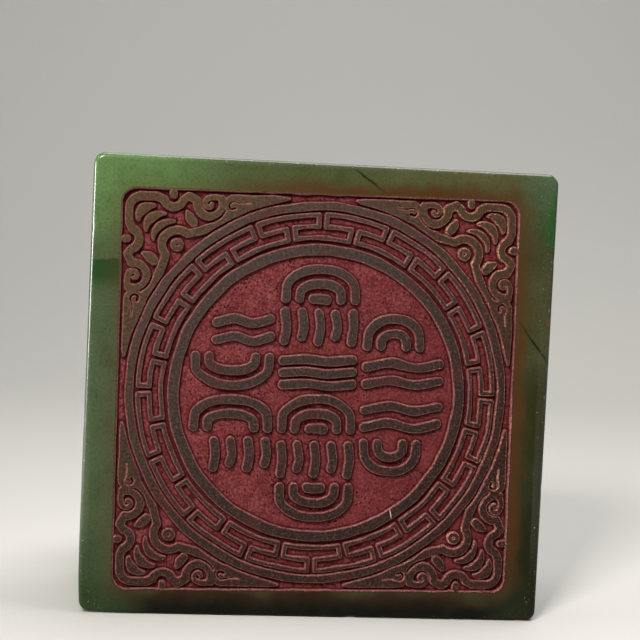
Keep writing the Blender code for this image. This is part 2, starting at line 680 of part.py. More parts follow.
def clay_surface(clay):
    """The clay's surface as points and four-sided faces, one point in each cell that it crosses."""
    field = clay.field
    fill_pinches(field)
    inside = field < 0
    crossed = np.zeros(np.array(field.shape) - 1, int)
    total = np.zeros(crossed.shape + (3,))
    corner = np.indices(crossed.shape).transpose(1, 2, 3, 0)
    for axis in range(3):
        step = [0, 0, 0]
        step[axis] = 1
        for a, b in ((0, 0), (0, 1), (1, 0), (1, 1)):
            offset = [a, b]
            offset.insert(axis, 0)
            near = tuple(slice(o, o + n) for o, n in zip(offset, crossed.shape))
            beyond = tuple(slice(o + s, o + s + n) for o, s, n in zip(offset, step, crossed.shape))
            cuts = inside[near] != inside[beyond]
            share = np.where(cuts, field[near] / np.where(cuts, field[near] - field[beyond], 1), 0)
            total += cuts[..., None] * (np.array(offset) + share[..., None] * np.array(step))
            crossed += cuts
    used = crossed > 0
    number = np.full(crossed.shape, -1)
    number[used] = np.arange(used.sum())
    points = clay.low + clay.step * (corner[used] + total[used] / crossed[used][:, None])

    quads = []
    for axis in range(3):
        step = [0, 0, 0]
        step[axis] = 1
        near = inside[tuple(slice(0, n - s) for n, s in zip(inside.shape, step))]
        beyond = inside[tuple(slice(s, None) for s in step)]
        second, third = (axis + 1) % 3, (axis + 2) % 3
        for falling in (False, True):
            change = (near & ~beyond) if falling else (~near & beyond)
            places = np.argwhere(change)
            around = []
            for a, b in ((0, 0), (1, 0), (1, 1), (0, 1)):
                cell = places.copy()
                cell[:, second] -= a
                cell[:, third] -= b
                around.append(number[tuple(cell.T)])
            quad = np.column_stack(around)
            quads.append(quad if falling else quad[:, ::-1])
    return points, np.vstack(quads)


def lion():
    """The lion on the plinth's top, thinned to its number of triangles."""
    clay = lion_clay(CLAY_STEP * FIGURE_HEIGHT / LION_HEIGHT)
    cut_under(clay)
    points, quads = clay_surface(clay)
    forward, side, up = points.T * LION_HEIGHT / FIGURE_HEIGHT
    stretch = (LION_HEIGHT + SINK) / (up.max() - up.min())
    top = PLINTH_TOP_Y + LION_HEIGHT
    places = np.column_stack((forward, top + (up - up.max()) * stretch, MIDDLE_Z - side))
    thing = mesh_object("lion_form", places, quads.tolist())
    thinner = thing.modifiers.new("Thin", "DECIMATE")
    thinner.ratio = LION_TRIANGLES / (2 * len(quads))
    return thing


def cut_under(clay):
    """Cut the clay flat a little below its feet."""
    up = clay.axes[2][None, None, :]
    clay.field = np.maximum(clay.field, -SINK * FIGURE_HEIGHT / LION_HEIGHT - up)


def jade():
    """Green jade, polished by handling."""
    material = bpy.data.materials.new("jade")
    material.use_nodes = True
    shader = material.node_tree.nodes["Principled BSDF"]
    shader.inputs["Base Color"].default_value = (0.09, 0.12, 0.06, 1)
    shader.inputs["Roughness"].default_value = 0.35
    shader.inputs["Metallic"].default_value = 0.0
    return material


def main():
    remove_everything()
    seal = carved_block()
    for form in (plinth(), lion()):
        form.hide_render = True
        form.display_type = "WIRE"
        union = seal.modifiers.new("Join " + form.name, "BOOLEAN")
        union.operation = "UNION"
        union.object = form
    seal.data.materials.append(jade())


main()
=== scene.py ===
# %% [markdown]
# # A carved jade seal
#
# The real object is one stone. A square block of green jade has a face cut for printing: a plain rim,
# a sunk panel with scrolls in its corners, two raised rings with a key-fret between them, and raised
# strokes in the round middle. Red cinnabar paste from years of printing fills everything that was cut
# away. Behind the block a lion lies on a low plinth, and serves as the handle.
#
# The seal rests on one flank, so the carved face stands upright and looks along -Y.

# %% Load the frame
import math
from functools import partial

import bpy
import numpy as np
from mathutils import Matrix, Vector
from mathutils.geometry import delaunay_2d_cdt


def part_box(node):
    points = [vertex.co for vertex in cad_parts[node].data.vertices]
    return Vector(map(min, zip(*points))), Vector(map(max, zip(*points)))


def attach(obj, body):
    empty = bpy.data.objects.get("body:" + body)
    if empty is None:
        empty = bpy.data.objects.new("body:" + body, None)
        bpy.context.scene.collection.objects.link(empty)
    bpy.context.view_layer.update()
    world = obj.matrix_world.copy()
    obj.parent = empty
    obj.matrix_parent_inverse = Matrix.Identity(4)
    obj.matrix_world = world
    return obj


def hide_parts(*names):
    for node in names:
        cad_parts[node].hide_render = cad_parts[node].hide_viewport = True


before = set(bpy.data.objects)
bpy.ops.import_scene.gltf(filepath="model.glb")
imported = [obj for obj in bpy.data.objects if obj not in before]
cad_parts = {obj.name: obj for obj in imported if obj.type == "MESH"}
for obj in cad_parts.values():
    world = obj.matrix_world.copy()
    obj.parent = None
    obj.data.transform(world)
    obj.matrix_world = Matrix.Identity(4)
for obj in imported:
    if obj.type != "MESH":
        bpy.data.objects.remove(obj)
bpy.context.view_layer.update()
scene = bpy.context.scene

# %% [markdown]
# ## Sizes
#
# A model stays easy to change when each size is written once. The outer sizes come from the frame, and
# the carving's own sizes are named here, in metres. The carved lines are given as a carver would, by
# the width of each line and each groove, counted from the panel's edge inward.

# %% Sizes of the block and the carved face
MM = 0.001
seal_low, seal_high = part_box("seal")
FACE_WIDTH = seal_high[0] - seal_low[0]
FACE_HEIGHT = seal_high[2] - seal_low[2]
FACE_Y = seal_low[1]
BLOCK_DEPTH = 42 * MM
PLINTH_HEIGHT = 4 * MM
BACK_Y = FACE_Y + BLOCK_DEPTH
PLINTH_TOP_Y = BACK_Y + PLINTH_HEIGHT
LION_HEIGHT = seal_high[1] - PLINTH_TOP_Y
MIDDLE_Z = (seal_low[2] + seal_high[2]) / 2

CORNER_RADIUS = 2.2 * MM
EDGE_RADIUS = 1.0 * MM
PANEL_HALF = 42.7 * MM
PANEL_CORNER_RADIUS = 3.0 * MM
PANEL_SHIFT = np.array((-0.6, -0.4)) * MM
PANEL_TURN = math.radians(0.7)
CARVING_DEPTH = 1.2 * MM

BORDER_GROOVE = 1.6 * MM
OUTER_RING_WIDTH = 1.65 * MM
RING_GROOVE = 0.68 * MM
FRET_LINE = 0.78 * MM
FRET_RISE = 2.45 * MM
FRET_STEM_GAP = 1.7 * MM
FRET_TURNS = 16
INNER_GROOVE = 1.1 * MM
INNER_RING_WIDTH = 2.15 * MM
OUTER_RING_RADIUS = PANEL_HALF - BORDER_GROOVE - OUTER_RING_WIDTH / 2
FRET_OUTER_RADIUS = OUTER_RING_RADIUS - OUTER_RING_WIDTH / 2 - RING_GROOVE - FRET_LINE / 2
FRET_MIDDLE_RADIUS = FRET_OUTER_RADIUS - FRET_RISE
FRET_INNER_RADIUS = FRET_MIDDLE_RADIUS - FRET_RISE
INNER_RING_RADIUS = FRET_INNER_RADIUS - FRET_LINE / 2 - INNER_GROOVE - INNER_RING_WIDTH / 2
FIELD_RADIUS = INNER_RING_RADIUS - INNER_RING_WIDTH / 2

STROKE_WIDTH = 1.8 * MM
STROKE_GAP = 1.2 * MM
COLUMN_WIDTH = 16.8 * MM
SIDE_COLUMN_REACH = 17.2 * MM
PLACE_GAP = 1.8 * MM
FIELD_MARGIN = 1.2 * MM
print("carved field radius, mm:", round(FIELD_RADIUS / MM, 2))

# %% [markdown]
# ## Curves for the carver's lines
#
# Each raised line is a path with a width. Two small helpers make the paths: an arc of a circle, and a
# smooth curve through a few chosen points. Both return whole arrays of points, so nothing is placed by
# hand that a formula can place.

# %% Arc and smooth curve
def arc(centre, radius, start, end, count):
    """Points centre + radius * (cos a, sin a), with a running from start to end in degrees."""
    angles = np.radians(np.linspace(start, end, count))
    return np.array(centre) + radius * np.column_stack((np.cos(angles), np.sin(angles)))


def smooth_through(points, steps):
    """A Catmull-Rom curve: between two points a cubic whose slope at a point is half of after - before."""
    points = np.array(points, float)
    before = np.vstack((2 * points[0] - points[1], points[:-1]))
    after = np.vstack((points[1:], 2 * points[-1] - points[-2]))
    slopes = (after - before) / 2
    t = np.linspace(0, 1, steps, endpoint=False)[None, :, None]
    start, end = points[:-1, None], points[1:, None]
    leave, reach = slopes[:-1, None], slopes[1:, None]
    curve = ((2 * t**3 - 3 * t**2 + 1) * start + (t**3 - 2 * t**2 + t) * leave
             + (3 * t**2 - 2 * t**3) * end + (t**3 - t**2) * reach)
    return np.vstack((curve.reshape(-1, 2), points[-1:]))


print("points on a curve through three places:", len(smooth_through([(0, 0), (1, 1), (2, 0)], 8)))

# %% [markdown]
# ## The key-fret
#
# The fret on the real face is one unbroken raised line. It runs out beside a stem of sunk ground, along
# the ring, back in beside the next stem, half way back, and then does the same on the inner side. One
# turn is eight corners in polar coordinates, and a loop repeats it round the ring.

# %% The fret as one line
def fret_line():
    """Corners (angle, radius), eight to a turn, joined by evenly divided steps in angle and radius."""
    pitch = 2 * math.pi / FRET_TURNS
    outer = FRET_STEM_GAP / (FRET_OUTER_RADIUS + FRET_MIDDLE_RADIUS)
    inner = FRET_STEM_GAP / (FRET_INNER_RADIUS + FRET_MIDDLE_RADIUS)
    out = (FRET_MIDDLE_RADIUS, FRET_OUTER_RADIUS)
    inward = (FRET_MIDDLE_RADIUS, FRET_INNER_RADIUS)
    stems = ((outer, out), (pitch - outer, out[::-1]), (pitch / 2 + inner, inward),
             (1.5 * pitch - inner, inward[::-1]))
    corners = [(turn * pitch + angle, radius) for turn in range(FRET_TURNS)
               for angle, radii in stems for radius in radii]
    corners = np.array(corners + [(2 * math.pi + outer, FRET_MIDDLE_RADIUS)])
    share = np.linspace(0, 1, 12, endpoint=False)[None, :, None]
    finer = corners[:-1, None] + share * (corners[1:, None] - corners[:-1, None])
    angle, radius = np.vstack((finer.reshape(-1, 2), corners[-1:])).T
    return np.column_stack((radius * np.sin(angle), radius * np.cos(angle)))


print("fret points:", len(fret_line()))

# %% [markdown]
# ## The corner scrolls
#
# Each corner holds the same ornament, mirrored about its diagonal: a ribbon that follows the panel's
# edge, dips under a stub and ends in a curled scroll, a wedge that runs out along the ring, a band that
# loops round an eye, three crescents and a leaf. Only half of one corner is drawn, in small units
# counted from the corner, and mirrored seven times.

# %% Sizes of the corner ornament
ORNAMENT_SPAN = 42.7
ORNAMENT_UNIT = PANEL_HALF / ORNAMENT_SPAN
EDGE_LINE = 0.7
RING_LINE = 0.75
RIBBON_HALF = 0.8
SCROLL = np.array((18.4, 2.7))
SCROLL_RADIUS = 2.75
STUB_PLACE = 10.7
EYE = (11.75, 11.75)
ARCH_RADIUS = 3.25
# Each crescent: place on the diagonal, radius, half its width
CRESCENTS = ((4.3, 2.9, 1.05), (6.1, 3.3, 0.95), (7.8, 3.6, 0.75))

print("one ornament unit, mm:", round(ORNAMENT_UNIT / MM, 3))

# %% Ribbon, curl and stub, wedge and band
def ribbon_strokes():
    """Ribbon, curl and stub as (points, half widths). A point is (along the edge, inward).

    The curl's radius about the scroll's middle shrinks with the angle as it winds in.
    """
    edge = EDGE_LINE + RIBBON_HALF
    turn = 4.25
    ribbon = np.vstack((
        arc((turn, turn), turn - edge, 225, 270, 8), [(7.2, edge)],
        arc((STUB_PLACE, 1.6), 2.15, 165, 15, 16), [(13.9, 1.3)],
        arc(SCROLL, SCROLL_RADIUS, 190, -20, 24)))
    angles = np.linspace(-20, -350, 40)
    radii = np.interp(angles, (-350, -270, -180, -90, -55, -20), (0.45, 0.8, 1.0, 1.15, 1.6, 2.6))
    turns = np.radians(angles)
    curl = SCROLL + radii[:, None] * np.column_stack((np.cos(turns), np.sin(turns)))
    stub = np.array([(STUB_PLACE, EDGE_LINE), (STUB_PLACE, 1.15)])
    return [(ribbon, np.full(len(ribbon), RIBBON_HALF)), (curl, np.linspace(0.55, 0.40, len(curl))),
            (stub, np.array((0.75, 0.70)))]


def ring_strokes():
    """Wedge and band. The wedge fills the room between the edge's line and a circle about the ring."""
    ring = ORNAMENT_SPAN - BORDER_GROOVE / MM + RING_LINE
    angles = np.radians(np.linspace(10, 27, 12))
    inner = ORNAMENT_SPAN - ring * np.cos(angles)
    wedge = np.column_stack((ORNAMENT_SPAN - ring * np.sin(angles), (inner + EDGE_LINE) / 2))
    wedge_half = np.minimum((inner - EDGE_LINE) / 2, np.linspace(0.2, 3.0, 12))
    ring += RIBBON_HALF
    angles = np.radians(np.linspace(20, 36, 16))
    tail = ORNAMENT_SPAN - ring * np.column_stack((np.sin(angles), np.cos(angles)))
    band = np.vstack((tail, arc(EYE, ARCH_RADIUS, 310, 225, 14)))
    return [(wedge, wedge_half), (band, np.full(len(band), RIBBON_HALF))]

print("points on the ribbon:", len(ribbon_strokes()[0][0]))

# %% Leaf, eye, crescents and grooves, and all four corners
def dot(half, length):
    """A round dot at the eye, as a very short line."""
    return np.array([(EYE[0] - length, EYE[1]), (EYE[0] + length, EYE[1])]), np.array((half, half))


def small_strokes():
    """Leaf, eye and crescents. A crescent narrows from its middle to its tips."""
    leaf = smooth_through([(13.7, 4.8), (14.3, 6.0), (15.1, 6.9)], 6)
    halves = np.interp(np.linspace(0, 1, len(leaf)), (0, 0.5, 1), (0.35, 0.95, 0.85))
    strokes = [(leaf, halves), dot(1.3, 0.02)]
    for place, radius, half in CRESCENTS:
        middle = place + radius / math.sqrt(2)
        crescent = arc((middle, middle), radius, 225, 278, 14)
        strokes.append((crescent, np.linspace(1, 0, 14) ** 0.8 * (half - 0.25) + 0.25))
    return strokes


def corner_grooves():
    """Lines cut back into the stone: a hook in the wedge, one between scroll and band, and pits."""
    hook = smooth_through([(27.0, 2.35), (24.9, 2.5), (23.3, 2.2), (22.5, 2.9), (22.9, 3.8), (23.8, 3.6)], 5)
    line = smooth_through([(17.6, 6.85), (19.4, 6.3), (20.8, 5.4), (21.6, 4.3)], 5)
    return [(hook, np.interp(np.linspace(0, 1, len(hook)), (0, 0.4, 1), (0.12, 0.25, 0.4))),
            (line, np.linspace(0.35, 0.28, len(line))), dot(0.32, 0.01)]


def four_corners(points):
    """The eight mirror images of points about a corner's diagonal and the panel's two middle lines."""
    placed = np.atleast_2d(points) * ORNAMENT_UNIT - PANEL_HALF
    sides = ((1, 1), (-1, 1), (1, -1), (-1, -1))
    return [image * side for image in (placed, placed[:, ::-1]) for side in sides]


print("strokes in half a corner:", len(ribbon_strokes() + ring_strokes() + small_strokes()))

# %% [markdown]
# ## The strokes of the round field
#
# The middle of the face holds an inscription on the real seal. Writing isn't copied here. Rows of
# hills, waves and rain take its place, strokes as wide, as high and as closely set as the carved ones,
# in three columns.

# %% Hills, troughs, waves and rain
def hill(width, height):
    """An arch, with lower ones under it where there is room."""
    strokes = []
    while width > 2.4 * STROKE_WIDTH and height > STROKE_WIDTH:
        reach = width / 2 - STROKE_WIDTH / 2
        rise = height - STROKE_WIDTH
        strokes.append(smooth_through([(-reach, 0), (-0.92 * reach, 0.6 * rise), (-0.4 * reach, rise),
                                       (0.4 * reach, rise), (0.92 * reach, 0.6 * rise), (reach, 0)], 8))
        width -= 2 * (STROKE_WIDTH + STROKE_GAP)
        height -= STROKE_WIDTH + STROKE_GAP
    return [stroke + (0, STROKE_WIDTH / 2) for stroke in strokes]


def trough(width, height):
    """Hills hung upside down."""
    return [(0, height) - stroke for stroke in hill(width, height)]


def waves(width, height):
    """Wavy lines, one over the other."""
    reach = width / 2 - STROKE_WIDTH / 2
    count = int((height + STROKE_GAP) / (STROKE_WIDTH + STROKE_GAP))
    pitch = height / count
    lift = (pitch - STROKE_WIDTH) / 4
    middles = [(line + 0.5) * pitch for line in range(count)]
    return [smooth_through([(-reach, middle - lift), (-reach / 3, middle + lift),
                            (reach / 3, middle - lift), (reach, middle + lift)], 8) for middle in middles]


def rain(width, height):
    """Bent drops side by side, every second one shorter."""
    count = round((width + STROKE_GAP) / (STROKE_WIDTH + 1.4 * STROKE_GAP))
    sway = STROKE_GAP / 6
    reach = width / 2 - STROKE_WIDTH / 2 - sway
    drops = []
    for drop in range(count):
        x = reach * (2 * drop / (count - 1) - 1)
        foot = STROKE_WIDTH / 2 + (drop % 2) * STROKE_WIDTH * 0.6
        drops.append(smooth_through([(x - sway, foot), (x + sway, height / 2),
                                     (x - sway, height - STROKE_WIDTH / 2)], 8))
    return drops


print("hills in a square place:", len(hill(COLUMN_WIDTH, COLUMN_WIDTH)))

# %% Three columns of places, two rows of strokes in each
def field_strokes():
    """Strokes of the field. A side row reaches sideways to the chord of the circle at its height."""
    room = FIELD_RADIUS - FIELD_MARGIN
    inner = COLUMN_WIDTH / 2 + STROKE_GAP
    middle_reach = math.sqrt(room**2 - (COLUMN_WIDTH / 2)**2)
    columns = ((-room, -inner, SIDE_COLUMN_REACH, 2),
               (-COLUMN_WIDTH / 2, COLUMN_WIDTH / 2, middle_reach, 3),
               (inner, room, SIDE_COLUMN_REACH, 2))
    motifs = ((rain, hill), (trough, waves), (waves, hill), (trough, rain), (hill, waves))
    strokes = []
    for column, (left, right, reach, places) in enumerate(columns):
        pitch = (2 * reach + PLACE_GAP) / places
        height = (pitch - PLACE_GAP - STROKE_GAP) / 2
        for place in range(places):
            for row, motif in enumerate(motifs[(3 * column + place) % len(motifs)]):
                foot = -reach + place * pitch + row * (height + STROKE_GAP)
                chord = math.sqrt(room**2 - max(abs(foot), abs(foot + height))**2)
                start, end = max(left, -chord), min(right, chord)
                for points in motif(end - start, height):
                    points = points + ((start + end) / 2, foot)
                    strokes.append((points, np.full(len(points), STROKE_WIDTH / 2)))
    return strokes


print("strokes in the field:", len(field_strokes()))

# %% [markdown]
# ## One plan for the whole face
#
# All lines meet in one plan: at each point of a fine grid, the distance to the nearest raised edge,
# less than nought on what stands up. Lines that touch then join by themselves, as they do in stone. A
# stroke only changes the grid near itself, so the plan is quick to fill.

# %% Fill the plan
PLAN_STEP = 0.1 * MM
PLAN_REACH = 3.0 * MM


def stamp(plan, axis, points, halves, cut=False):
    """Lower the plan to the distance from a tapering line: away from its nearest point, less its half.

    A cut raises the plan to that distance turned round instead.
    """
    for (ax, az), (bx, bz), half_a, half_b in zip(points[:-1], points[1:], halves[:-1], halves[1:]):
        margin = PLAN_REACH + max(half_a, half_b)
        i0, i1 = np.searchsorted(axis, (min(ax, bx) - margin, max(ax, bx) + margin))
        j0, j1 = np.searchsorted(axis, (min(az, bz) - margin, max(az, bz) + margin))
        x = axis[None, i0:i1]
        z = axis[j0:j1, None]
        run = (bx - ax, bz - az)
        share = np.clip(((x - ax) * run[0] + (z - az) * run[1]) / (run[0]**2 + run[1]**2), 0, 1)
        away = np.hypot(x - ax - share * run[0], z - az - share * run[1])
        away -= half_a + share * (half_b - half_a)
        part = plan[j0:j1, i0:i1]
        plan[j0:j1, i0:i1] = np.maximum(part, -away) if cut else np.minimum(part, away)


def carving_plan():
    """(axis, plan): distances to the rim, the rings and every stroke, with the grooves taken out."""
    reach = PANEL_HALF + 8 * PLAN_STEP
    axis = np.linspace(-reach, reach, 2 * int(reach / PLAN_STEP) + 1)
    x = axis[None, :]
    z = axis[:, None]
    straight = PANEL_HALF - PANEL_CORNER_RADIUS
    over_x = np.abs(x) - straight
    over_z = np.abs(z) - straight
    outside = np.hypot(np.maximum(over_x, 0), np.maximum(over_z, 0))
    plan = PANEL_CORNER_RADIUS - outside - np.minimum(np.maximum(over_x, over_z), 0)
    for ring, width in ((OUTER_RING_RADIUS, OUTER_RING_WIDTH), (INNER_RING_RADIUS, INNER_RING_WIDTH)):
        plan = np.minimum(plan, np.abs(np.hypot(x, z) - ring) - width / 2)
    line = fret_line()
    stamp(plan, axis, line, np.full(len(line), FRET_LINE / 2))
    for points, halves in field_strokes():
        stamp(plan, axis, points, halves)
    raised = ribbon_strokes() + ring_strokes() + small_strokes()
    for strokes, cut in ((raised, False), (corner_grooves(), True)):
        for points, halves in strokes:
            for image in four_corners(points):
                stamp(plan, axis, image, halves * ORNAMENT_UNIT, cut)
    return axis, plan


axis, plan = carving_plan()
print("plan grid:", plan.shape)

# %% [markdown]
# ## A hand that is never quite steady
#
# Lines drawn by a formula look printed. A few slow waves, added to the plan, make each line a little
# wider here and narrower there, and a second set shifts the lines sideways by a tenth of a millimetre
# or so.

# %% Slow waves for widths and places
def slow_waves(x, z, seed, wavelength):
    """The sum of six sine waves in six directions, from -1 to 1, with phases from a seeded draw."""
    draw = np.random.default_rng(seed)
    total = np.zeros(np.broadcast(x, z).shape)
    for _ in range(6):
        angle, phase = draw.uniform(0, 2 * math.pi, 2)
        length = wavelength * draw.uniform(0.6, 1.6)
        total += np.sin((x * math.cos(angle) + z * math.sin(angle)) * 2 * math.pi / length + phase)
    return total / 6


WIDTH_WANDER = 0.11 * MM
PLACE_WANDER = 0.20 * MM
COS, SIN = math.cos(PANEL_TURN), math.sin(PANEL_TURN)
TURN = np.array(((COS, -SIN), (SIN, COS)))
plan += WIDTH_WANDER * slow_waves(axis[None, :], axis[:, None], 3, 5 * MM)


def hand_placed(points):
    """Panel points shifted by slow waves, then turned and moved to where the panel sits on the face."""
    x, z = points.T
    wander = np.column_stack((slow_waves(x, z, 11, 9 * MM), slow_waves(x, z, 12, 9 * MM)))
    inside = np.clip((PANEL_HALF - np.max(np.abs(points), axis=1)) / (2 * MM), 0, 1)[:, None]
    return (points + PLACE_WANDER * wander * (0.25 + 0.75 * inside)) @ TURN.T + PANEL_SHIFT


def plan_at(places):
    """The plan's values at the grid points nearest to some places in the panel."""
    i, j = np.rint((places - axis[0]) / PLAN_STEP).astype(int).clip(0, len(axis) - 1).T
    return plan[j, i]


print("plan now reaches, mm:", np.round((plan.min() / MM, plan.max() / MM), 2))

# %% [markdown]
# ## From plan to outlines
#
# A line of equal distance in the plan is an outline that runs alongside the carving's edges. Several of
# them, one inside the other, give a cut wall its rounded lip, its slope and its foot. Marching squares
# finds them: in each small square of the grid, the corners under the level say which sides the outline
# crosses.

# %% Marching squares
# For each set of corners under the level (1, 2, 4, 8 anticlockwise from the lower left): the sides by
# which the outline enters and leaves. Sides: 0 lower, 1 right, 2 upper, 3 left.
CELL_LINES = {1: ((0, 3),), 2: ((1, 0),), 3: ((1, 3),), 4: ((2, 1),), 5: ((0, 3), (2, 1)), 6: ((2, 0),),
              7: ((2, 3),), 8: ((3, 2),), 9: ((0, 2),), 10: ((1, 0), (3, 2)), 11: ((1, 2),), 12: ((3, 1),),
              13: ((0, 1),), 14: ((3, 0),)}


def level_loops(level):
    """Closed outlines on which the plan equals level, with the point on each side by proportion."""
    low = plan < level
    cells = (low[:-1, :-1] + 2 * low[:-1, 1:] + 4 * low[1:, 1:] + 8 * low[1:, :-1]).astype(int)
    size = len(axis)
    following = {}
    for j, i in np.argwhere((cells > 0) & (cells < 15)).tolist():
        sides = (j * size + i, size**2 + j * size + i + 1, (j + 1) * size + i, size**2 + j * size + i)
        for start, end in CELL_LINES[cells[j, i]]:
            following[sides[start]] = sides[end]
    loops = []
    while following:
        first, side = following.popitem()
        chain = [first]
        while side != first:
            chain.append(side)
            side = following.pop(side)
        chain = np.array(chain)
        upright = chain >= size**2
        j, i = np.divmod(np.where(upright, chain - size**2, chain), size)
        here = plan[j, i]
        share = (level - here) / (plan[j + upright, i + ~upright] - here)
        step = axis[1] - axis[0]
        loops.append(np.column_stack((axis[i] + share * step * ~upright, axis[j] + share * step * upright)))
    return loops


edge_loops = level_loops(0.0)
print("outlines along the carved edges:", len(edge_loops))

# %% [markdown]
# The grid gives a point every tenth of a millimetre, many more than a straight line needs. Each outline
# keeps only the points that its shape needs: a stretch is split at the point furthest from its chord,
# again and again, until nothing is further away than the tolerance.

# %% Thin the outlines
LOOP_TOLERANCE = 0.012 * MM
SMALLEST_LOOP = 0.02 * MM**2


def simplified(loop, tolerance):
    """The points of a closed loop that remain when each stretch may stray by the tolerance."""
    far = int(np.argmax(np.hypot(*(loop - loop[0]).T)))
    closed = np.vstack((loop, loop[:1]))
    keep = {0, far}
    spans = [(0, far), (far, len(loop))]
    while spans:
        start, end = spans.pop()
        if end - start < 2:
            continue
        run = closed[end] - closed[start]
        rest = closed[start + 1:end] - closed[start]
        length = math.hypot(*run)
        away = np.abs(rest @ (-run[1], run[0])) / length if length > 0 else np.hypot(*rest.T)
        worst = int(np.argmax(away))
        if away[worst] > tolerance:
            split = start + 1 + worst
            keep.add(split)
            spans += [(start, split), (split, end)]
    return loop[sorted(keep)]


def loop_area(loop):
    """Half the sum of the cross products of neighbouring points."""
    x, z = loop.T
    return (x @ np.roll(z, -1) - z @ np.roll(x, -1)) / 2


longest = max(edge_loops, key=len)
print("longest outline:", len(longest), "points, thinned to", len(simplified(longest, LOOP_TOLERANCE)))

# %% [markdown]
# ## The block's outline
#
# The block is a slab with rounded corners and edges. Its outline is a rounded rectangle, and the same
# outline, drawn in along a quarter circle, makes the rounded edges. The points stand about 1.5 mm
# apart, so that small chips can be pressed into the edges later.

# %% Rounded rectangle and the rings of a slab
OUTLINE_STEP = 1.5 * MM
CORNER_STEPS = 8
EDGE_STEPS = 5


def rounded_outline(width, height, radius, inset):
    """Points round a rectangle, anticlockwise: arcs of radius - inset at the corners, even steps between."""
    stops = []
    for corner, (side_x, side_z) in enumerate(((1, 1), (-1, 1), (-1, -1), (1, -1))):
        centre = (side_x * (width / 2 - radius), side_z * (height / 2 - radius))
        stops.append(arc(centre, radius - inset, 90 * corner, 90 * corner + 90, CORNER_STEPS + 1))
    points = []
    for corner, after in zip(stops, stops[1:] + stops[:1]):
        count = max(1, round(math.dist(corner[-1], after[0]) / OUTLINE_STEP))
        share = np.linspace(0, 1, count + 1)[1:-1, None]
        points += [corner, corner[-1] + share * (after[0] - corner[-1])]
    return np.vstack(points)


def slab_rings(width, height, corner_radius, front, back, edge):
    """Rings (outline, y) from the front face to the back: the inset follows edge * (1 - sin a)."""
    steps = np.linspace(0, math.pi / 2, EDGE_STEPS + 1)
    return [(rounded_outline(width, height, corner_radius, edge * (1 - math.sin(angle))),
             start + toward * edge * (1 - math.cos(angle)))
            for toward, start in ((1, front), (-1, back)) for angle in steps[::toward]]


def close_slab(vertices, faces, rings, around):
    """Four-sided faces from ring to ring, from the listed first ring on, and a cap on the last."""
    for outline, y in rings:
        start = len(vertices)
        vertices += [(x, y, z + MIDDLE_Z) for x, z in outline]
        ring = list(range(start, start + len(outline)))
        faces += list(zip(around, ring, ring[1:] + ring[:1], around[1:] + around[:1]))
        around = ring
    faces.append(tuple(around[::-1]))


def mesh_object(name, vertices, faces):
    """A new object with the given mesh, linked to the scene."""
    mesh = bpy.data.meshes.new(name)
    mesh.from_pydata(np.asarray(vertices, float).tolist(), [], faces)
    mesh.validate()
    thing = bpy.data.objects.new(name, mesh)
    scene.collection.objects.link(thing)
    return thing


print("points round the block:", len(rounded_outline(FACE_WIDTH, FACE_HEIGHT, CORNER_RADIUS, 0)))

# %% [markdown]
# ## Chips along the edges
#
# Handling has knocked small flakes off the stone's edges. A chip is a small hollow: every point of the
# edge within its reach moves towards the middle of the block, most at its centre. They only take stone
# away, so the block keeps its size.

# %% Chips
# Each chip: place (x, z) from the middle of the face, depth behind the face, reach, all in mm.
CHIPS = ((-36.4, 49.0, 0.1, 0.5), (-49.8, 33.0, 0.1, 0.6), (22.0, 49.0, 0.1, 0.5), (50.0, -20.0, 0.1, 0.6),
         (50.0, 30.5, 0.1, 0.6), (-50.0, -38.0, 0.1, 0.8), (9.0, -49.0, 0.2, 0.9), (-14.0, -49.0, 0.1, 0.6),
         (49.6, 48.6, 0.2, 0.9), (47.0, -48.0, 0.3, 1.2), (-8.0, 49.0, 41.8, 1.4), (49.8, 8.0, 41.8, 1.5),
         (-49.8, -12.0, 41.6, 1.3), (-30.0, -48.8, 41.8, 1.4))
CHIP_BITE = 0.38
SOFT_CORNER_REACH = 6 * MM
SOFT_CORNER_BITE = 0.55 * MM


def chipped(points):
    """Points pulled toward the block's middle by CHIP_BITE * reach * exp(-(distance / reach)^2)."""
    points = np.array(points, float)
    pull = np.zeros(len(points))
    for x, z, behind, reach in CHIPS:
        place = np.array((x * MM, FACE_Y + behind * MM, z * MM + MIDDLE_Z))
        away = np.linalg.norm((points - place) / (reach * MM), axis=1)
        pull += CHIP_BITE * reach * MM * np.exp(-away**2)
    lower_left = (-FACE_WIDTH / 2, MIDDLE_Z - FACE_HEIGHT / 2)
    away = np.hypot(*(points[:, (0, 2)] - lower_left).T) / SOFT_CORNER_REACH
    pull += SOFT_CORNER_BITE * np.exp(-away**2)
    inward = (0.0, FACE_Y + BLOCK_DEPTH / 2, MIDDLE_Z) - points
    inward /= np.linalg.norm(inward, axis=1)[:, None]
    return points + inward * pull[:, None]


print("chips:", len(CHIPS), "the largest reaches, mm:", max(reach for _, _, _, reach in CHIPS))

# %% [markdown]
# ## The carved block
#
# The face is one sheet of triangles between all outlines, found by a Delaunay triangulation that keeps
# the outlines as edges. Each outline has one depth: the lip is a little below the rim, the foot of the
# wall is at the full depth. Extra points on the open ground carry the marks of the carver's tool.

# %% Depth of each outline, and rough ground
# Each level: distance from the raised edge, and depth below the rim, in mm.
WALL_LEVELS = ((-0.30, 0.0), (-0.12, 0.0), (-0.02, 0.04), (0.06, 0.24), (0.15, 0.82), (0.24, 1.1),
               (0.34, 1.2))
RIM_INSETS = (EDGE_RADIUS, 1.8 * MM, 2.7 * MM, 3.7 * MM)
WELD_DISTANCE = 1e-7
GROUND_STEP = 0.55 * MM
GROUND_CLEARANCE = 0.55 * MM
GROUND_ROUGHNESS = 0.09 * MM


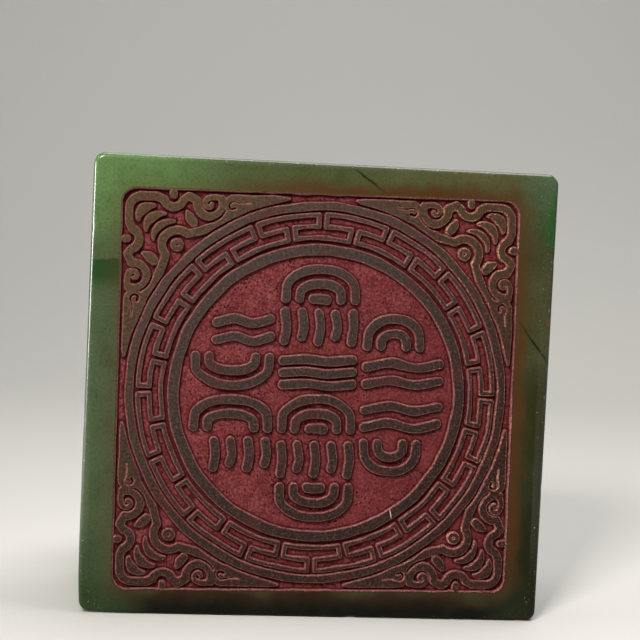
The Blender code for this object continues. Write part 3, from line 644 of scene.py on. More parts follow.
def ground_points():
    """Jittered grid points on the sunk ground with their depths: the full depth and small hollows."""
    draw = np.random.default_rng(7)
    reach = PANEL_HALF - GROUND_STEP
    steps = np.arange(-reach, reach, GROUND_STEP)
    x, z = np.meshgrid(steps, steps)
    places = np.column_stack((x.ravel(), z.ravel())) + draw.uniform(-0.3, 0.3, (x.size, 2)) * GROUND_STEP
    places = places[plan_at(places) > GROUND_CLEARANCE]
    hollow = draw.uniform(-1, 1, len(places)) + slow_waves(*places.T, 21, 4 * MM)
    return places, CARVING_DEPTH + GROUND_ROUGHNESS * hollow


places, depths = ground_points()
print("ground points:", len(places), "depth, mm:", np.round((depths.min() / MM, depths.max() / MM), 2))

# %% The block as one mesh
def carved_block():
    """Points and faces of the block: the face between its outlines, and a skin of rings round it."""
    rings = slab_rings(FACE_WIDTH, FACE_HEIGHT, CORNER_RADIUS, FACE_Y, BACK_Y, EDGE_RADIUS)
    outline = rings[0][0]
    half = FACE_WIDTH / 2
    loops = [(outline * ((1 - inset / half) / (1 - EDGE_RADIUS / half)), 0.0) for inset in RIM_INSETS]
    for distance, depth in WALL_LEVELS:
        loops += [(hand_placed(simplified(loop, LOOP_TOLERANCE)), depth * MM)
                  for loop in level_loops(distance * MM) if abs(loop_area(loop)) >= SMALLEST_LOOP]
    edges = []
    count = 0
    for loop, _ in loops:
        numbers = count + np.arange(len(loop))
        edges.append(np.column_stack((numbers, np.roll(numbers, -1))))
        count += len(loop)
    places, hollows = ground_points()
    flat = np.vstack([loop for loop, _ in loops] + [hand_placed(places)])
    depths = np.concatenate([np.full(len(loop), depth) for loop, depth in loops] + [hollows])
    found, _, triangles, sources, _, _ = delaunay_2d_cdt(
        flat.tolist(), np.vstack(edges).tolist(), [], 0, WELD_DISTANCE)
    print("face points:", len(found), "triangles:", len(triangles))
    place = {source: k for k, group in enumerate(sources) for source in group}
    depth = [min((depths[s] for s in group), default=0.0) for group in sources]
    vertices = [(p[0], FACE_Y + d, p[1] + MIDDLE_Z) for p, d in zip(found, depth)]
    faces = [tuple(triangle) for triangle in triangles]
    close_slab(vertices, faces, rings[1:], [place[k] for k in range(len(outline))])
    return vertices, faces


block_points, block_faces = carved_block()
seal = mesh_object("seal_stone", chipped(block_points), block_faces)

# %% [markdown]
# ## The plinth
#
# The lion lies on a low step, cut from the same stone. It is the same kind of slab, sunk a little into
# the block's back, so that the two can be joined later.

# %% Plinth
PLINTH_LENGTH = 88 * MM
PLINTH_WIDTH = 64 * MM
PLINTH_CORNER_RADIUS = 4 * MM
SINK = 0.8 * MM


def plinth():
    """The plinth as its own closed slab."""
    rings = slab_rings(PLINTH_LENGTH, PLINTH_WIDTH, PLINTH_CORNER_RADIUS, BACK_Y - 2 * SINK,
                       PLINTH_TOP_Y, SINK)
    outline, y = rings[0]
    vertices = [(x, y, z + MIDDLE_Z) for x, z in outline]
    first = list(range(len(vertices)))
    faces = [tuple(first)]
    close_slab(vertices, faces, rings[1:], first)
    return mesh_object("plinth_form", vertices, faces)


print("plinth, mm:", round(PLINTH_LENGTH / MM), round(PLINTH_WIDTH / MM), round(PLINTH_HEIGHT / MM))

# %% [markdown]
# ## Clay for the lion
#
# A round, muscular animal is easier to build up like clay than to draw point by point. Space is filled
# with a fine grid that holds, at each point, the distance to the clay's surface, in figure units: the
# lion is 50 high. A ball or a limb is blended in with a soft seam, or cut out. Places are (forward, side,
# up), and a turned form goes round the neck's upright axis. At the end a surface is drawn where the
# distance is nought.

# %% The grid, its windows and the soft seam
FIGURE_HEIGHT = 50
HEAD_TURN = math.radians(28)
NECK = 12.0
CLAY_STEP = 0.42
CLAY_LOW = np.array((-45.0, -33.0, -3.0))
CLAY_HIGH = np.array((46.0, 33.0, 53.0))
CLAY_AXES = [np.arange(a, b + CLAY_STEP, CLAY_STEP) for a, b in zip(CLAY_LOW, CLAY_HIGH)]
clay = np.full([len(values) for values in CLAY_AXES], 8.0, np.float32)


def window(place, reach, turn):
    """The grid within reach of a place, as slices and as coordinates in the form's own frame."""
    forward, side, up = place
    cos, sin = math.cos(turn), math.sin(turn)
    middle = (NECK + cos * (forward - NECK) - sin * side, sin * (forward - NECK) + cos * side, up)
    part = tuple(slice(*np.searchsorted(values, (centre - reach, centre + reach)))
                 for values, centre in zip(CLAY_AXES, middle))
    near = (values[span].astype(np.float32) for values, span in zip(CLAY_AXES, part))
    grids = np.meshgrid(*near, indexing="ij", sparse=True)
    x, y, z = (values - centre for values, centre in zip(grids, middle))
    return part, (cos * x + sin * y, cos * y - sin * x, z)


def press(part, distance, softness, cut):
    """Smooth union or cut: the nearer distance, with overlap^2 * softness / 4 across the seam."""
    here = clay[part]
    other = -distance if cut else distance
    overlap = np.maximum(softness - np.abs(here - other), 0) / softness
    seam = overlap**2 * softness / 4
    clay[part] = np.maximum(here, other) + seam if cut else np.minimum(here, other) - seam


print("clay grid:", clay.shape)

# %% [markdown]
# A carver cuts the lion's curls as snails: a groove that winds outward from the top of a round boss.
# Around the axis that points out of the head, the groove lies where the distance from the axis, less
# the share of a turn, is a whole number of windings.

# %% Snail groove
CURL_RADIUS = 4.3
CURL_PITCH = 2.1
CURL_DEPTH = 0.55


def snail_groove(spot, place, radius, hand):
    """CURL_DEPTH * a narrow ridge in (distance from the axis / pitch - angle / turn), fading inside.

    The axis points out of the head, so the groove winds outward from the top of the curl.
    """
    out = np.array((0.35, place[1], place[2] - 28.0))
    out /= np.linalg.norm(out)
    first = np.cross(out, (1.0, 0.0, 0.0))
    first /= np.linalg.norm(first)
    along, a, b = (sum(v * w for v, w in zip(spot, ray)) for ray in (out, first, np.cross(out, first)))
    winding = np.hypot(a, b) / CURL_PITCH - hand * np.arctan2(b, a) / (2 * math.pi)
    ridge = (0.5 + 0.5 * np.cos(2 * math.pi * winding))**2
    return CURL_DEPTH * ridge * np.clip(along / radius + 0.4, 0, 1)


print("turns in a curl's groove:", round(CURL_RADIUS / CURL_PITCH, 1))

# %% Balls and limbs
def ball(place, radii, softness=2.0, turn=0.0, cut=False, curl=0.0):
    """An ellipsoid: k (k - 1) / |slope|, with k the scaled radius. A curl has a snail's groove."""
    part, spot = window(place, max(radii) + softness + 3, turn)
    scaled = np.sqrt(sum((v / r)**2 for v, r in zip(spot, radii)))
    slope = np.sqrt(sum((v / r**2)**2 for v, r in zip(spot, radii)))
    distance = scaled * (scaled - 1) / np.maximum(slope, 1e-6)
    if curl:
        distance = distance + snail_groove(spot, place, radii[0], curl)
    press(part, distance, softness, cut)


def limb(places, radii, softness=2.0, turn=0.0, cut=False):
    """A tapering round limb along a few places: distance to the nearest point less the radius."""
    for start, end, fat, thin in zip(places[:-1], places[1:], radii[:-1], radii[1:]):
        middle = [(a + b) / 2 for a, b in zip(start, end)]
        run = [(b - a) / 2 for a, b in zip(start, end)]
        half = math.sqrt(sum(r * r for r in run))
        part, spot = window(middle, half + max(fat, thin) + softness + 2, turn)
        share = np.clip(sum(v * r for v, r in zip(spot, run)) / half**2, -1, 1)
        away = np.sqrt(sum((v - share * r)**2 for v, r in zip(spot, run)))
        press(part, away - (fat + thin) / 2 - share * (thin - fat) / 2, softness, cut)


print("figure units to a millimetre:", round(FIGURE_HEIGHT * MM / LION_HEIGHT, 2))

# %% [markdown]
# ## The lion's body
#
# The lion lies with its legs drawn in. Torso, chest and rump are large soft masses, the haunches and
# shoulders lie against them with a sharper seam, and knobs along the back mark the spine. The tail is
# laid up over the rump, spread in five flame locks with a groove in each.

# %% Body, legs and tail
def legs(side):
    """Haunch and hind foot, shoulder, foreleg and forepaw of one side, with toes, claws and locks."""
    ball((-19, 14 * side, 12), (15, 9.5, 13), 1.6)
    limb([(-14, 20 * side, 3.4), (0, 20.5 * side, 3.2)], (4.6, 4.2), 1.2)
    for toe in (-1, 0, 1):
        ball((3.4, (20.6 + 2.8 * toe) * side, 2.8), (4.4, 1.9, 3.2), 0.4)
        ball((7.2, (20.6 + 2.8 * toe) * side, 1.6), (1.5, 0.8, 1.2), 0.3)
    ball((7, 13 * side, 15), (9.5, 7.5, 12), 1.6)
    limb([(6, 17 * side, 6), (25, 14.5 * side, 4.6)], (6.2, 4.8), 1.2)
    ball((30, 14 * side, 4.0), (6, 5.4, 4.6), 1.2)
    for toe in (-1.5, -0.5, 0.5, 1.5):
        ball((34, (14 + 2.7 * toe) * side, 3.2), (4.6, 1.8, 3.5), 0.4)
        ball((38.0, (14 + 2.7 * toe) * side, 1.8), (1.5, 0.8, 1.3), 0.3)
    haunch_scroll(side)
    for lock in range(3):
        limb([(1 - 2.5 * lock, 20.5 * side, 9 + 4 * lock), (-4 - 2.0 * lock, 19.8 * side, 12 + 4 * lock)],
             (2.2, 0.8), 0.6)


def haunch_scroll(side):
    """A spiral groove cut in the haunch: short limbs along radius = 0.9 + 0.72 * angle."""
    angles = np.linspace(0.4, 3.4 * math.pi, 26)
    radii = 0.9 + 0.72 * angles
    forward = -19 + radii * np.cos(angles)
    up = 13 + radii * np.sin(angles)
    bulge = 1 - ((forward + 19) / 15)**2 - ((up - 12) / 13)**2
    sideways = (14 + 9.5 * np.sqrt(np.maximum(bulge, 0.02))) * side
    places = np.column_stack((forward, sideways, up))
    limb(places.tolist(), [0.62] * len(places), 0.3, cut=True)


limb([(-18, 0, 16), (12, 0, 18)], (15.0, 15.0))
ball((-24, 0, 14), (14, 17, 14), 4)
ball((18, 0, 18), (12, 14, 18), 4)
limb([(-22, 0, -2), (20, 0, -2)], (16, 15), 3)
for knob in range(6):
    ball((-23 + 5.2 * knob, 0, 30.3 + 0.45 * knob), (2.6, 2.7, 2.6), 0.6)
for side in (1, -1):
    legs(side)
limb([(-36, 0, 6), (-38, 0, 16), (-35, 0, 25)], (4.2, 4.2, 3.8), 1.5)
for lock in range(5):
    spread = (lock - 2) * 5.0
    lift = 33.5 - 0.09 * spread**2
    limb([(-36, spread * 0.3, 22), (-31, spread * 0.9, lift - 4), (-22, spread * 1.15, lift - 3),
          (-17 + abs(spread) * 0.35, spread * 1.3, lift - 2.2)], (3.4, 3.2, 2.6, 1.2), 0.5)
    limb([(-31, spread * 0.9, lift - 0.7), (-22, spread * 1.15, lift - 0.3)], (0.5, 0.4), 0.3, cut=True)
print("clay filled:", round(float((clay < 0).mean()), 3))

# %% [markdown]
# ## Mane and head
#
# The mane is rows of snail curls round the face, down the neck and over the chest. The head turns to
# the lion's left, with heavy brows, round eyes, a broad nose and open jaws, as guardian lions have.

# %% Mane and head
# Each row of the mane: forward, radius, curls, spread in degrees, turn
MANE_ROWS = ((24, 14.0, 11, 118, HEAD_TURN), (16, 16.5, 11, 118, HEAD_TURN * 0.8),
             (7, 16.0, 9, 100, HEAD_TURN * 0.5), (0, 13.5, 7, 80, HEAD_TURN * 0.2))
ball((13, 0, 29), (15, 17, 16), 3, HEAD_TURN / 2)
for forward, radius, count, spread, turn in MANE_ROWS:
    for angle in np.radians(np.linspace(-spread, spread, count)):
        place = (forward, radius * math.sin(angle), 30.5 + radius * math.cos(angle))
        ball(place, (CURL_RADIUS,) * 3, 0.5, turn, curl=1.0 if angle > 0 else -1.0)
for row, count in ((0, 3), (1, 4), (2, 3)):
    for k in range(count):
        side = (k - (count - 1) / 2) * 6.0
        ball((29.5 - 0.03 * side**2 - row * 0.6, side, 19 - 5.2 * row), (3.6, 3.4, 3.4), 0.6)

head_ball = partial(ball, turn=HEAD_TURN)
head_limb = partial(limb, turn=HEAD_TURN)
# Skull, muzzle, bridge and tip of the nose, jaw, chin, the open mouth and the crown
head_ball((25, 0, 34.5), (12.5, 13, 12), 2.5)
head_ball((37.0, 0, 30.0), (7, 8.6, 5.6), 1.5)
head_limb([(33, 0, 40), (41, 0, 34.8)], (3.4, 2.8), 1.5)
head_ball((42.6, 0, 33.8), (3.0, 4.3, 2.7), 0.8)
head_ball((36, 0, 22.6), (6.6, 7.2, 3.4), 1.2)
head_ball((31, 0, 18.5), (5.0, 6.5, 5.0), 1.2)
head_ball((41, 0, 26.2), (7.5, 7.2, 1.7), 0.6, cut=True)
head_ball((33.5, 0, 45.0), (3.4, 3.2, 3.0), 1.0)
for side in (1, -1):
    # Lip, cheek, brow, eye with its pupil, nostril, ear with its hollow, and two teeth
    head_ball((40.5, 4.3 * side, 29.8), (4.6, 4.7, 4.4), 0.8)
    head_ball((30, 10.5 * side, 27.5), (6, 4.5, 6), 1.0)
    head_limb([(37.5, 2.4 * side, 40.0), (37, 6.5 * side, 42.4), (32, 11 * side, 41)], (1.8, 2.4, 1.5), 0.6)
    head_ball((36.6, 6.2 * side, 37.0), (2.7, 3.2, 3.0), 0.3)
    head_ball((39.3, 6.4 * side, 37.0), (0.9, 0.9, 0.9), 0.2, cut=True)
    head_ball((45.0, 2.0 * side, 33.0), (1.2, 1.1, 1.0), 0.3, cut=True)
    head_ball((20, 14.5 * side, 42.5), (4.6, 2.8, 5.4), 0.8)
    head_ball((23, 16.0 * side, 42.5), (2.4, 2.2, 3.4), 0.6, cut=True)
    head_limb([(42.2, 4.6 * side, 27.6), (42.2, 4.4 * side, 25.4)], (1.0, 0.4), 0.2)
    head_limb([(40.2, 3.6 * side, 24.4), (40.2, 3.6 * side, 26.4)], (0.9, 0.4), 0.2)
clay = np.maximum(clay, -SINK * FIGURE_HEIGHT / LION_HEIGHT - CLAY_AXES[2][None, None, :])
print("clay filled:", round(float((clay < 0).mean()), 3))

# %% [markdown]
# ## From clay to a surface
#
# Each grid cell that the surface passes through gets one point, at the mean of the places where the
# surface crosses the cell's edges. Each grid edge that is crossed gives one four-sided face between the
# four cells round it. Where the surface would touch itself, the gap is filled first.

# %% Fill the pinches
UNIT = np.eye(3, dtype=int)


def corner_view(grid, corner, reach):
    """The grid seen from one corner of each cell or face."""
    return grid[tuple(slice(c, n - r + c) for c, n, r in zip(corner, grid.shape, reach))]


def fill_pinches(field):
    """Fill faces and cells where only two opposite corners are inside or outside, until none is left."""
    faces = [(0 * a, a, a + b, b) for a, b in ((UNIT[0], UNIT[1]), (UNIT[0], UNIT[2]), (UNIT[1], UNIT[2]))]
    cell = np.array([(a, b, c) for a in (0, 1) for b in (0, 1) for c in (0, 1)])
    changed = True
    while changed:
        inside = field < 0
        fill = np.zeros(field.shape, bool)
        for corners in faces:
            views = [corner_view(inside, corner, corners[2]) for corner in corners]
            bad = (views[0] == views[2]) & (views[1] == views[3]) & (views[0] != views[1])
            for corner in corners:
                corner_view(fill, corner, corners[2])[bad] = True
        views = [corner_view(inside, corner, (1, 1, 1)) for corner in cell]
        count = sum(view.astype(np.int8) for view in views)
        for k in range(4):
            same = views[k] == views[7 - k]
            bad = same & (((count == 2) & views[k]) | ((count == 6) & ~views[k]))
            for corner in cell:
                corner_view(fill, corner, (1, 1, 1))[bad] = True
        fill &= ~inside
        field[fill] = -0.15 * CLAY_STEP
        changed = bool(fill.any())


fill_pinches(clay)
print("clay filled, with its pinches:", round(float((clay < 0).mean()), 3))

# %% Draw the surface
def clay_surface(field):
    """Points and faces of the surface where the distance is nought."""
    inside = field < 0
    shape = np.array(field.shape) - 1
    crossed = np.zeros(shape, np.int8)
    total = np.zeros((*shape, 3), np.float32)
    for along, step in enumerate(UNIT):
        for a, b in ((0, 0), (0, 1), (1, 0), (1, 1)):
            offset = np.insert(np.array((a, b)), along, 0)
            near = tuple(slice(o, o + n) for o, n in zip(offset, shape))
            beyond = tuple(slice(o + s, o + s + n) for o, s, n in zip(offset, step, shape))
            cuts = inside[near] != inside[beyond]
            share = np.where(cuts, field[near] / np.where(cuts, field[near] - field[beyond], 1), 0)
            total += cuts[..., None] * (offset + share[..., None] * step)
            crossed += cuts
    used = crossed > 0
    number = np.full(tuple(shape), -1)
    number[used] = np.arange(used.sum())
    points = CLAY_LOW + CLAY_STEP * (np.argwhere(used) + total[used] / crossed[used][:, None])
    quads = []
    for along, step in enumerate(UNIT):
        near = inside[tuple(slice(0, n - s) for n, s in zip(inside.shape, step))]
        beyond = inside[tuple(slice(s, None) for s in step)]
        for falling, change in ((True, near & ~beyond), (False, ~near & beyond)):
            around = []
            for a, b in ((0, 0), (1, 0), (1, 1), (0, 1)):
                cell = np.argwhere(change)
                cell[:, (along + 1) % 3] -= a
                cell[:, (along + 2) % 3] -= b
                around.append(number[tuple(cell.T)])
            quads.append(np.column_stack(around if falling else around[::-1]))
    return points, np.vstack(quads)


surface_points, surface_quads = clay_surface(clay)
print("clay surface:", len(surface_points), "points,", len(surface_quads), "faces")

# %% Place the lion on the plinth
LION_TRIANGLES = 58000


def applied(thing):
    """Replace an object's mesh by what its modifiers make of it, and drop the modifiers."""
    graph = bpy.context.evaluated_depsgraph_get()
    mesh = bpy.data.meshes.new_from_object(thing.evaluated_get(graph))
    thing.modifiers.clear()
    thing.data = mesh
    return thing


def lion():
    """The lion's surface, set upright out of the block's back and thinned."""
    forward, side, up = surface_points.T * LION_HEIGHT / FIGURE_HEIGHT
    stretch = (LION_HEIGHT + SINK) / (up.max() - up.min())
    top = PLINTH_TOP_Y + LION_HEIGHT
    places = np.column_stack((forward, top + (up - up.max()) * stretch, MIDDLE_Z - side))
    thing = mesh_object("lion_form", places, surface_quads.tolist())
    thinner = thing.modifiers.new("Thin", "DECIMATE")
    thinner.ratio = LION_TRIANGLES / (2 * len(surface_quads))
    return applied(thing)


print("lion, mm from plinth to crown:", round(LION_HEIGHT / MM))

# %% [markdown]
# ## One stone
#
# Block, plinth and lion were cut from one piece, so their meshes are joined into one closed skin, with
# nothing left inside. The fast solver is enough here, since all three are closed.

# %% Join the forms
for form in (plinth(), lion()):
    union = seal.modifiers.new("Join", "BOOLEAN")
    union.operation = "UNION"
    union.solver = "MANIFOLD"
    union.object = form
    applied(seal)
    bpy.data.objects.remove(form)
print("stone triangles:", sum(len(p.vertices) - 2 for p in seal.data.polygons))

# %% [markdown]
# ## Marks for the finish
#
# The finish needs to know two things that the mesh knows best: how far a point of the face is from the
# nearest carved edge, and how deep a point of the lion lies in a crease. Both are worked out for all
# points at once and stored on the mesh, where the material can read them.

# %% Distance from the carved edge, and hollows
def values_of(items, name, width, kind=float):
    """One property of all items, as an array with width columns."""
    values = np.empty(width * len(items), kind)
    items.foreach_get(name, values)
    return values.reshape(-1, width)


def edge_distances(points):
    """Millimetres from the nearest carved edge, above nought on sunk ground, and -9 off the face.

    A place in the panel's own directions is found by turning back and undoing the wander, three times.
    """
    near = points[:, 1] < FACE_Y + 2 * CARVING_DEPTH
    target = (points[near][:, (0, 2)] - (0, MIDDLE_Z) - PANEL_SHIFT) @ TURN
    places = target.copy()
    for _ in range(3):
        places += target - (hand_placed(places) - PANEL_SHIFT) @ TURN
    away = np.full(len(points), -9.0)
    away[near] = np.clip(plan_at(places) / MM, -9, 9)
    return away


def hollows(mesh, rounds):
    """Millimetres that a point sinks below its surroundings: smooth all points, compare along normals."""
    points = values_of(mesh.vertices, "co", 3)
    start, end = values_of(mesh.edges, "vertices", 2, int).T
    count = len(points)
    links = np.bincount(start, minlength=count) + np.bincount(end, minlength=count)
    smooth = points
    for _ in range(rounds):
        total = [np.bincount(start, values[end], count) + np.bincount(end, values[start], count)
                 for values in smooth.T]
        smooth = np.column_stack(total) / np.maximum(links, 1)[:, None]
    return points, np.einsum("ij,ij->i", smooth - points, values_of(mesh.vertex_normals, "vector", 3)) / MM


points, hollow = hollows(seal.data, 14)
handle = np.clip((points[:, 1] - PLINTH_TOP_Y) / (0.5 * MM), 0, 1)
for name, values in (("edge", edge_distances(points)), ("hollow", hollow * handle)):
    seal.data.attributes.new(name, "FLOAT", "POINT").data.foreach_set("value", values.astype(np.float32))
print("hollows of the handle, mm:", np.round(np.percentile(hollow[handle > 0.5], (5, 50, 95)), 2))

# %% [markdown]
# Smooth shading rounds the small facets of the lion and of the carved lips, but it would also bend the
# light on the flat faces beside them. Faces that lie flat in the face, the flanks or the back are shaded
# flat, and all others smooth.

# %% Flat faces flat, round ones smooth
round_face = np.abs(values_of(seal.data.polygons, "normal", 3)).max(axis=1) < 0.9998
seal.data.polygons.foreach_set("use_smooth", round_face)
seal.data.set_sharp_from_angle(angle=math.radians(50))
print("round faces:", int(round_face.sum()), "flat faces:", int((~round_face).sum()))

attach(seal, "root")
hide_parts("seal")

# %% [markdown]
# ## Writing a material
#
# A material is a small flow chart: places go in, masks and colours are made from them, and the shader
# takes the result. Short helpers place each node, link what they are given and hand back the output, so
# that the material reads like a recipe.

# %% Helpers for nodes and sums
stone = bpy.data.materials.new("old_jade")
stone.use_nodes = True
stone.node_tree.nodes.clear()


def srgb(*levels):
    """A colour as seen on a screen (0 to 255), turned into the linear values that light adds up in."""
    parts = [v / 255 for v in levels]
    return (*[p / 12.92 if p <= 0.04045 else ((p + 0.055) / 1.055)**2.4 for p in parts], 1.0)


def node(kind, inputs, output=0, **settings):
    """A node of a kind, with settings, and with its inputs linked or given a value. Returns an output."""
    made = stone.node_tree.nodes.new("ShaderNode" + kind)
    for name, value in settings.items():
        setattr(made, name, value)
    for key, value in inputs.items():
        if isinstance(value, bpy.types.NodeSocket):
            stone.node_tree.links.new(value, made.inputs[key])
        else:
            made.inputs[key].default_value = value
    return made.outputs[output] if made.outputs else made


def calc(operation, first, *others):
    """One operation on two values, or on more from left to right. Some operations need only one."""
    for other in others or (0.0,):
        first = node("Math", {0: first, 1: other}, operation=operation)
    return first


plus, minus, times, larger = (partial(calc, name) for name in ("ADD", "SUBTRACT", "MULTIPLY", "MAXIMUM"))


def vector(operation, *inputs, output=0):
    """One operation on whole places. A length or a dot product is its second output."""
    return node("VectorMath", dict(enumerate(inputs)), output, operation=operation)


def split(place):
    """The three parts of a place."""
    return [node("SeparateXYZ", {0: place}, k) for k in range(3)]


print("white in linear values:", srgb(255, 255, 255))

# %% Helpers for masks and layers
def ramp(value, start, end, low=0.0, high=1.0):
    """A soft step: low before start, high after end."""
    return node("MapRange", {0: value, 1: start, 2: end, 3: low, 4: high}, interpolation_type="SMOOTHSTEP")


def noise(place, size, detail=3.0, roughness=0.5, output=0):
    """Cloudy values between 0 and 1, with clouds about size apart in the place's unit."""
    return node("TexNoise", {"Vector": place, "Scale": 1 / size, "Detail": detail, "Roughness": roughness},
                output)


def near(place, centre, reach):
    """A round patch: one at the centre, nought where the distance in reaches is one."""
    share = vector("MULTIPLY", vector("SUBTRACT", place, centre), [1 / r for r in reach])
    return ramp(vector("LENGTH", share, output=1), 0.15, 1.0, 1.0, 0.0)


def layered(colour, *layers):
    """The colour with more laid over it: each layer's colour covers what is below where its mask is one."""
    for mask, tint in layers:
        tint = srgb(*tint) if isinstance(tint, tuple) else tint
        colour = node("Mix", {0: mask, 6: colour, 7: tint}, 2, data_type="RGBA")
    return colour


def tell(step):
    """Print how far the recipe has come."""
    print(step, "done, nodes in the stone:", len(stone.node_tree.nodes))


# %% [markdown]
# ## Places on the stone
#
# The stone's colours belong to places in the stone, so everything starts from Object coordinates, in
# millimetres from the middle of the carved face: across, behind the face, and up. A slow noise shifts
# them a little, so that no patch has a clean edge.

# %% Places in millimetres
where = node("TexCoord", {}, 3)
place = node("Mapping", {0: where, 1: (0, -FACE_Y / MM, -MIDDLE_Z / MM), 3: (1000,) * 3})
drift = vector("SUBTRACT", noise(place, 14, output=1), (0.5,) * 3)
loose = vector("ADD", place, vector("MULTIPLY", drift, (14.0,) * 3))
across, behind, up = split(place)
drifted_across, _, drifted_up = split(loose)
tell("places")

# %% [markdown]
# ## The stone's colours, with painted light and shade
#
# This jade runs from a clear yellow green at the upper left to a dark olive at the lower right, with a
# deeper green band across the left rim. Part of that run is painted light and shade: the upper left is
# painted lighter, and the lower right and the bottom darker, as the light falls off from the upper left.
# Each patch of another colour is one row of a table: where its middle is, how far it reaches, its colour
# and its strength.

# %% Patches of colour in the stone
PATCHES = (
    ((-50, 10, 0), (26, 50, 60), (69, 82, 55), 1.0),
    ((-47, 10, 48), (42, 50, 23), (89, 118, 68), 1.0),
    ((-4, 8, 49), (38, 24, 20), (70, 76, 43), 0.9),
    ((30, 8, 49), (34, 24, 18), (82, 80, 50), 1.0),
    ((50, 8, 22), (24, 24, 34), (64, 60, 33), 1.0),
    ((50, 8, 46), (12, 24, 12), (76, 98, 68), 0.9),
    ((53, 6, 37), (9, 24, 9), (42, 62, 26), 0.9),
    # Painted glow: light shining through the thin right edge is painted on as a bright saturated green.
    ((54, 4, 38), (8, 20, 14), (24, 84, 32), 0.95),
    # The next three rows darken the right rim below its middle and the lower left corner: partly the stone's
    # darker olive, partly painted shade where the light falls off.
    ((50, 6, -6), (24, 24, 22), (46, 46, 18), 1.0),
    ((52, 4, -32), (36, 24, 42), (27, 27, 6), 1.0),
    ((-52, 8, -46), (22, 24, 22), (34, 54, 25), 0.95),
    ((-30, 64, 10), (34, 30, 30), (76, 90, 54), 0.60),
)
patches = [(times(near(loose, centre, reach), strength), tint) for centre, reach, tint, strength in PATCHES]
# Painted shade: the rim along the bottom of the face is darkened, less at its far left and right, as if the
# light fell off there.
painted_bottom_shade = times(ramp(drifted_across, -48.0, -34.0), ramp(drifted_up, -40.0, -45.5),
             ramp(drifted_across, 36.0, 46.0, 1.0, 0.45), ramp(behind, 2.0, 14.0, 1.0, 0.0))
cloud = noise(place, 7.0, 5.0, 0.6)
grain = noise(place, 0.6, 4.0, 0.7)
light_cloud = times(ramp(cloud, 0.50, 0.75, 0.0, 0.16), ramp(drifted_up, -40.0, 0.0, 0.3, 1.0))
colour = layered(srgb(62, 74, 46), *patches, (painted_bottom_shade, (8, 8, 3)), (light_cloud, (92, 104, 76)),
                 (ramp(cloud, 0.50, 0.28, 0.0, 0.25), (20, 30, 14)),
                 (ramp(grain, 0.48, 0.62, 0.0, 0.25), (14, 20, 8)))
tell("patches")

# %% [markdown]
# The band across the left rim is a layer in the stone. It has a clean upper side with a dark seam, where
# the height passes a limit, and fades out below.

# %% Layer across the left rim
layer_top = plus(up, times(noise(place, 4.0, 2.0), 1.2))
layer = times(ramp(layer_top, 27.0, 27.3, 1.0, 0.0), ramp(layer_top, 19.5, 24.5),
              ramp(across, -44.0, -30.0, 1.0, 0.0))
seam = times(ramp(calc("ABSOLUTE", minus(layer_top, 27.1)), 0.06, 0.24, 0.6, 0.0),
             ramp(across, -47.5, -44.5), ramp(across, -40.0, -36.0, 1.0, 0.0))
colour = layered(colour, (layer, (34, 62, 28)), (seam, (16, 34, 8)))
tell("layer")

# %% [markdown]
# ## Brown stain round the panel
#
# Paste and oil have crept into the stone beside the carved panel and left a brown stain, strongest along
# the upper right. It depends on the distance from the panel's edge. The panel is a rounded square, so the
# distance is the same formula as in the plan, worked out for a place that is turned as the panel is.

# %% Stain beside the panel
shift_x, shift_z = (float(shift / MM) for shift in PANEL_SHIFT)
turned = node("VectorRotate", {"Vector": place, "Center": (shift_x, 0, shift_z), "Angle": PANEL_TURN},
              rotation_type="Y_AXIS")
panel_x, _, panel_z = split(turned)
straight = (PANEL_HALF - PANEL_CORNER_RADIUS) / MM
over_x, over_z = (minus(calc("ABSOLUTE", minus(value, shift)), straight)
                  for value, shift in ((panel_x, shift_x), (panel_z, shift_z)))
squares = plus(*[calc("POWER", larger(over, 0.0), 2.0) for over in (over_x, over_z)])
beside = plus(calc("SQRT", squares), calc("MINIMUM", larger(over_x, over_z), 0.0))
beside = minus(beside, PANEL_CORNER_RADIUS / MM)
creep = ramp(plus(beside, times(noise(place, 6.0, 4.0, 0.6), -5.0)), -2.0, 2.0, 1.0, 0.0)
side = larger(near(loose, (16, 0, 46), (60, 30, 30)), near(loose, (50, 0, 0), (24, 30, 80)), 0.3)
stain = times(creep, side, ramp(behind, 0.5, 7.0, 1.0, 0.0), 0.95)
colour = layered(colour, (stain, (74, 44, 20)))
tell("stain")

# %% [markdown]
# ## Fissures
#
# Two fine dark cracks run through the rim. Near a crack, the distance from its line is a dot product with
# the line's normal, with some noise added so that it wanders, and a round patch fades its ends.

# %% Cracks in the rim
FISSURES = (((8.0, 46.2), (7.9, -5.4), 7.0), ((47.0, 11.4), (6.7, -8.5), 9.5))


def streak(middle, run, inner, outer, shift):
    """A line through a middle (x, z) along a run: one within inner mm of it, nought beyond outer mm."""
    length = math.hypot(*run)
    offset = vector("SUBTRACT", place, (middle[0], 0, middle[1]))
    away = vector("DOT_PRODUCT", offset, (run[1] / length, 0, -run[0] / length), output=1)
    return ramp(calc("ABSOLUTE", plus(away, shift)), inner, outer, 1.0, 0.0)


wander = times(minus(noise(place, 2.5, 4.0, 0.6), 0.5), 1.1)
for (x, z), run, size in FISSURES:
    line = times(streak((x, z), run, 0.08, 0.38, wander), 0.95, near(place, (x, 4, z), (size, 16, size)))
    colour = layered(colour, (line, (16, 26, 8)))
tell("cracks")

# %% [markdown]
# ## Painted shade in the creases, lighter bosses
#
# The high places of the lion are made lighter, and painted shade darkens its creases, which are also
# made rougher and less glossy. The stored depth of the creases drives both.

# %% Creases and high places of the handle
hollow = node("Attribute", {}, 2, attribute_name="hollow")
# Painted shade: the creases of the lion are darkened as shade would darken them; the same mask makes them
# rougher and less glossy.
crease_shade = ramp(plus(hollow, times(minus(grain, 0.5), 0.12)), 0.02, 0.32, 0.0, 0.8)
boss = ramp(hollow, -0.05, -0.45, 0.0, 0.45)
colour = layered(colour, (boss, (104, 122, 82)), (crease_shade, (26, 24, 14)))
tell("creases")
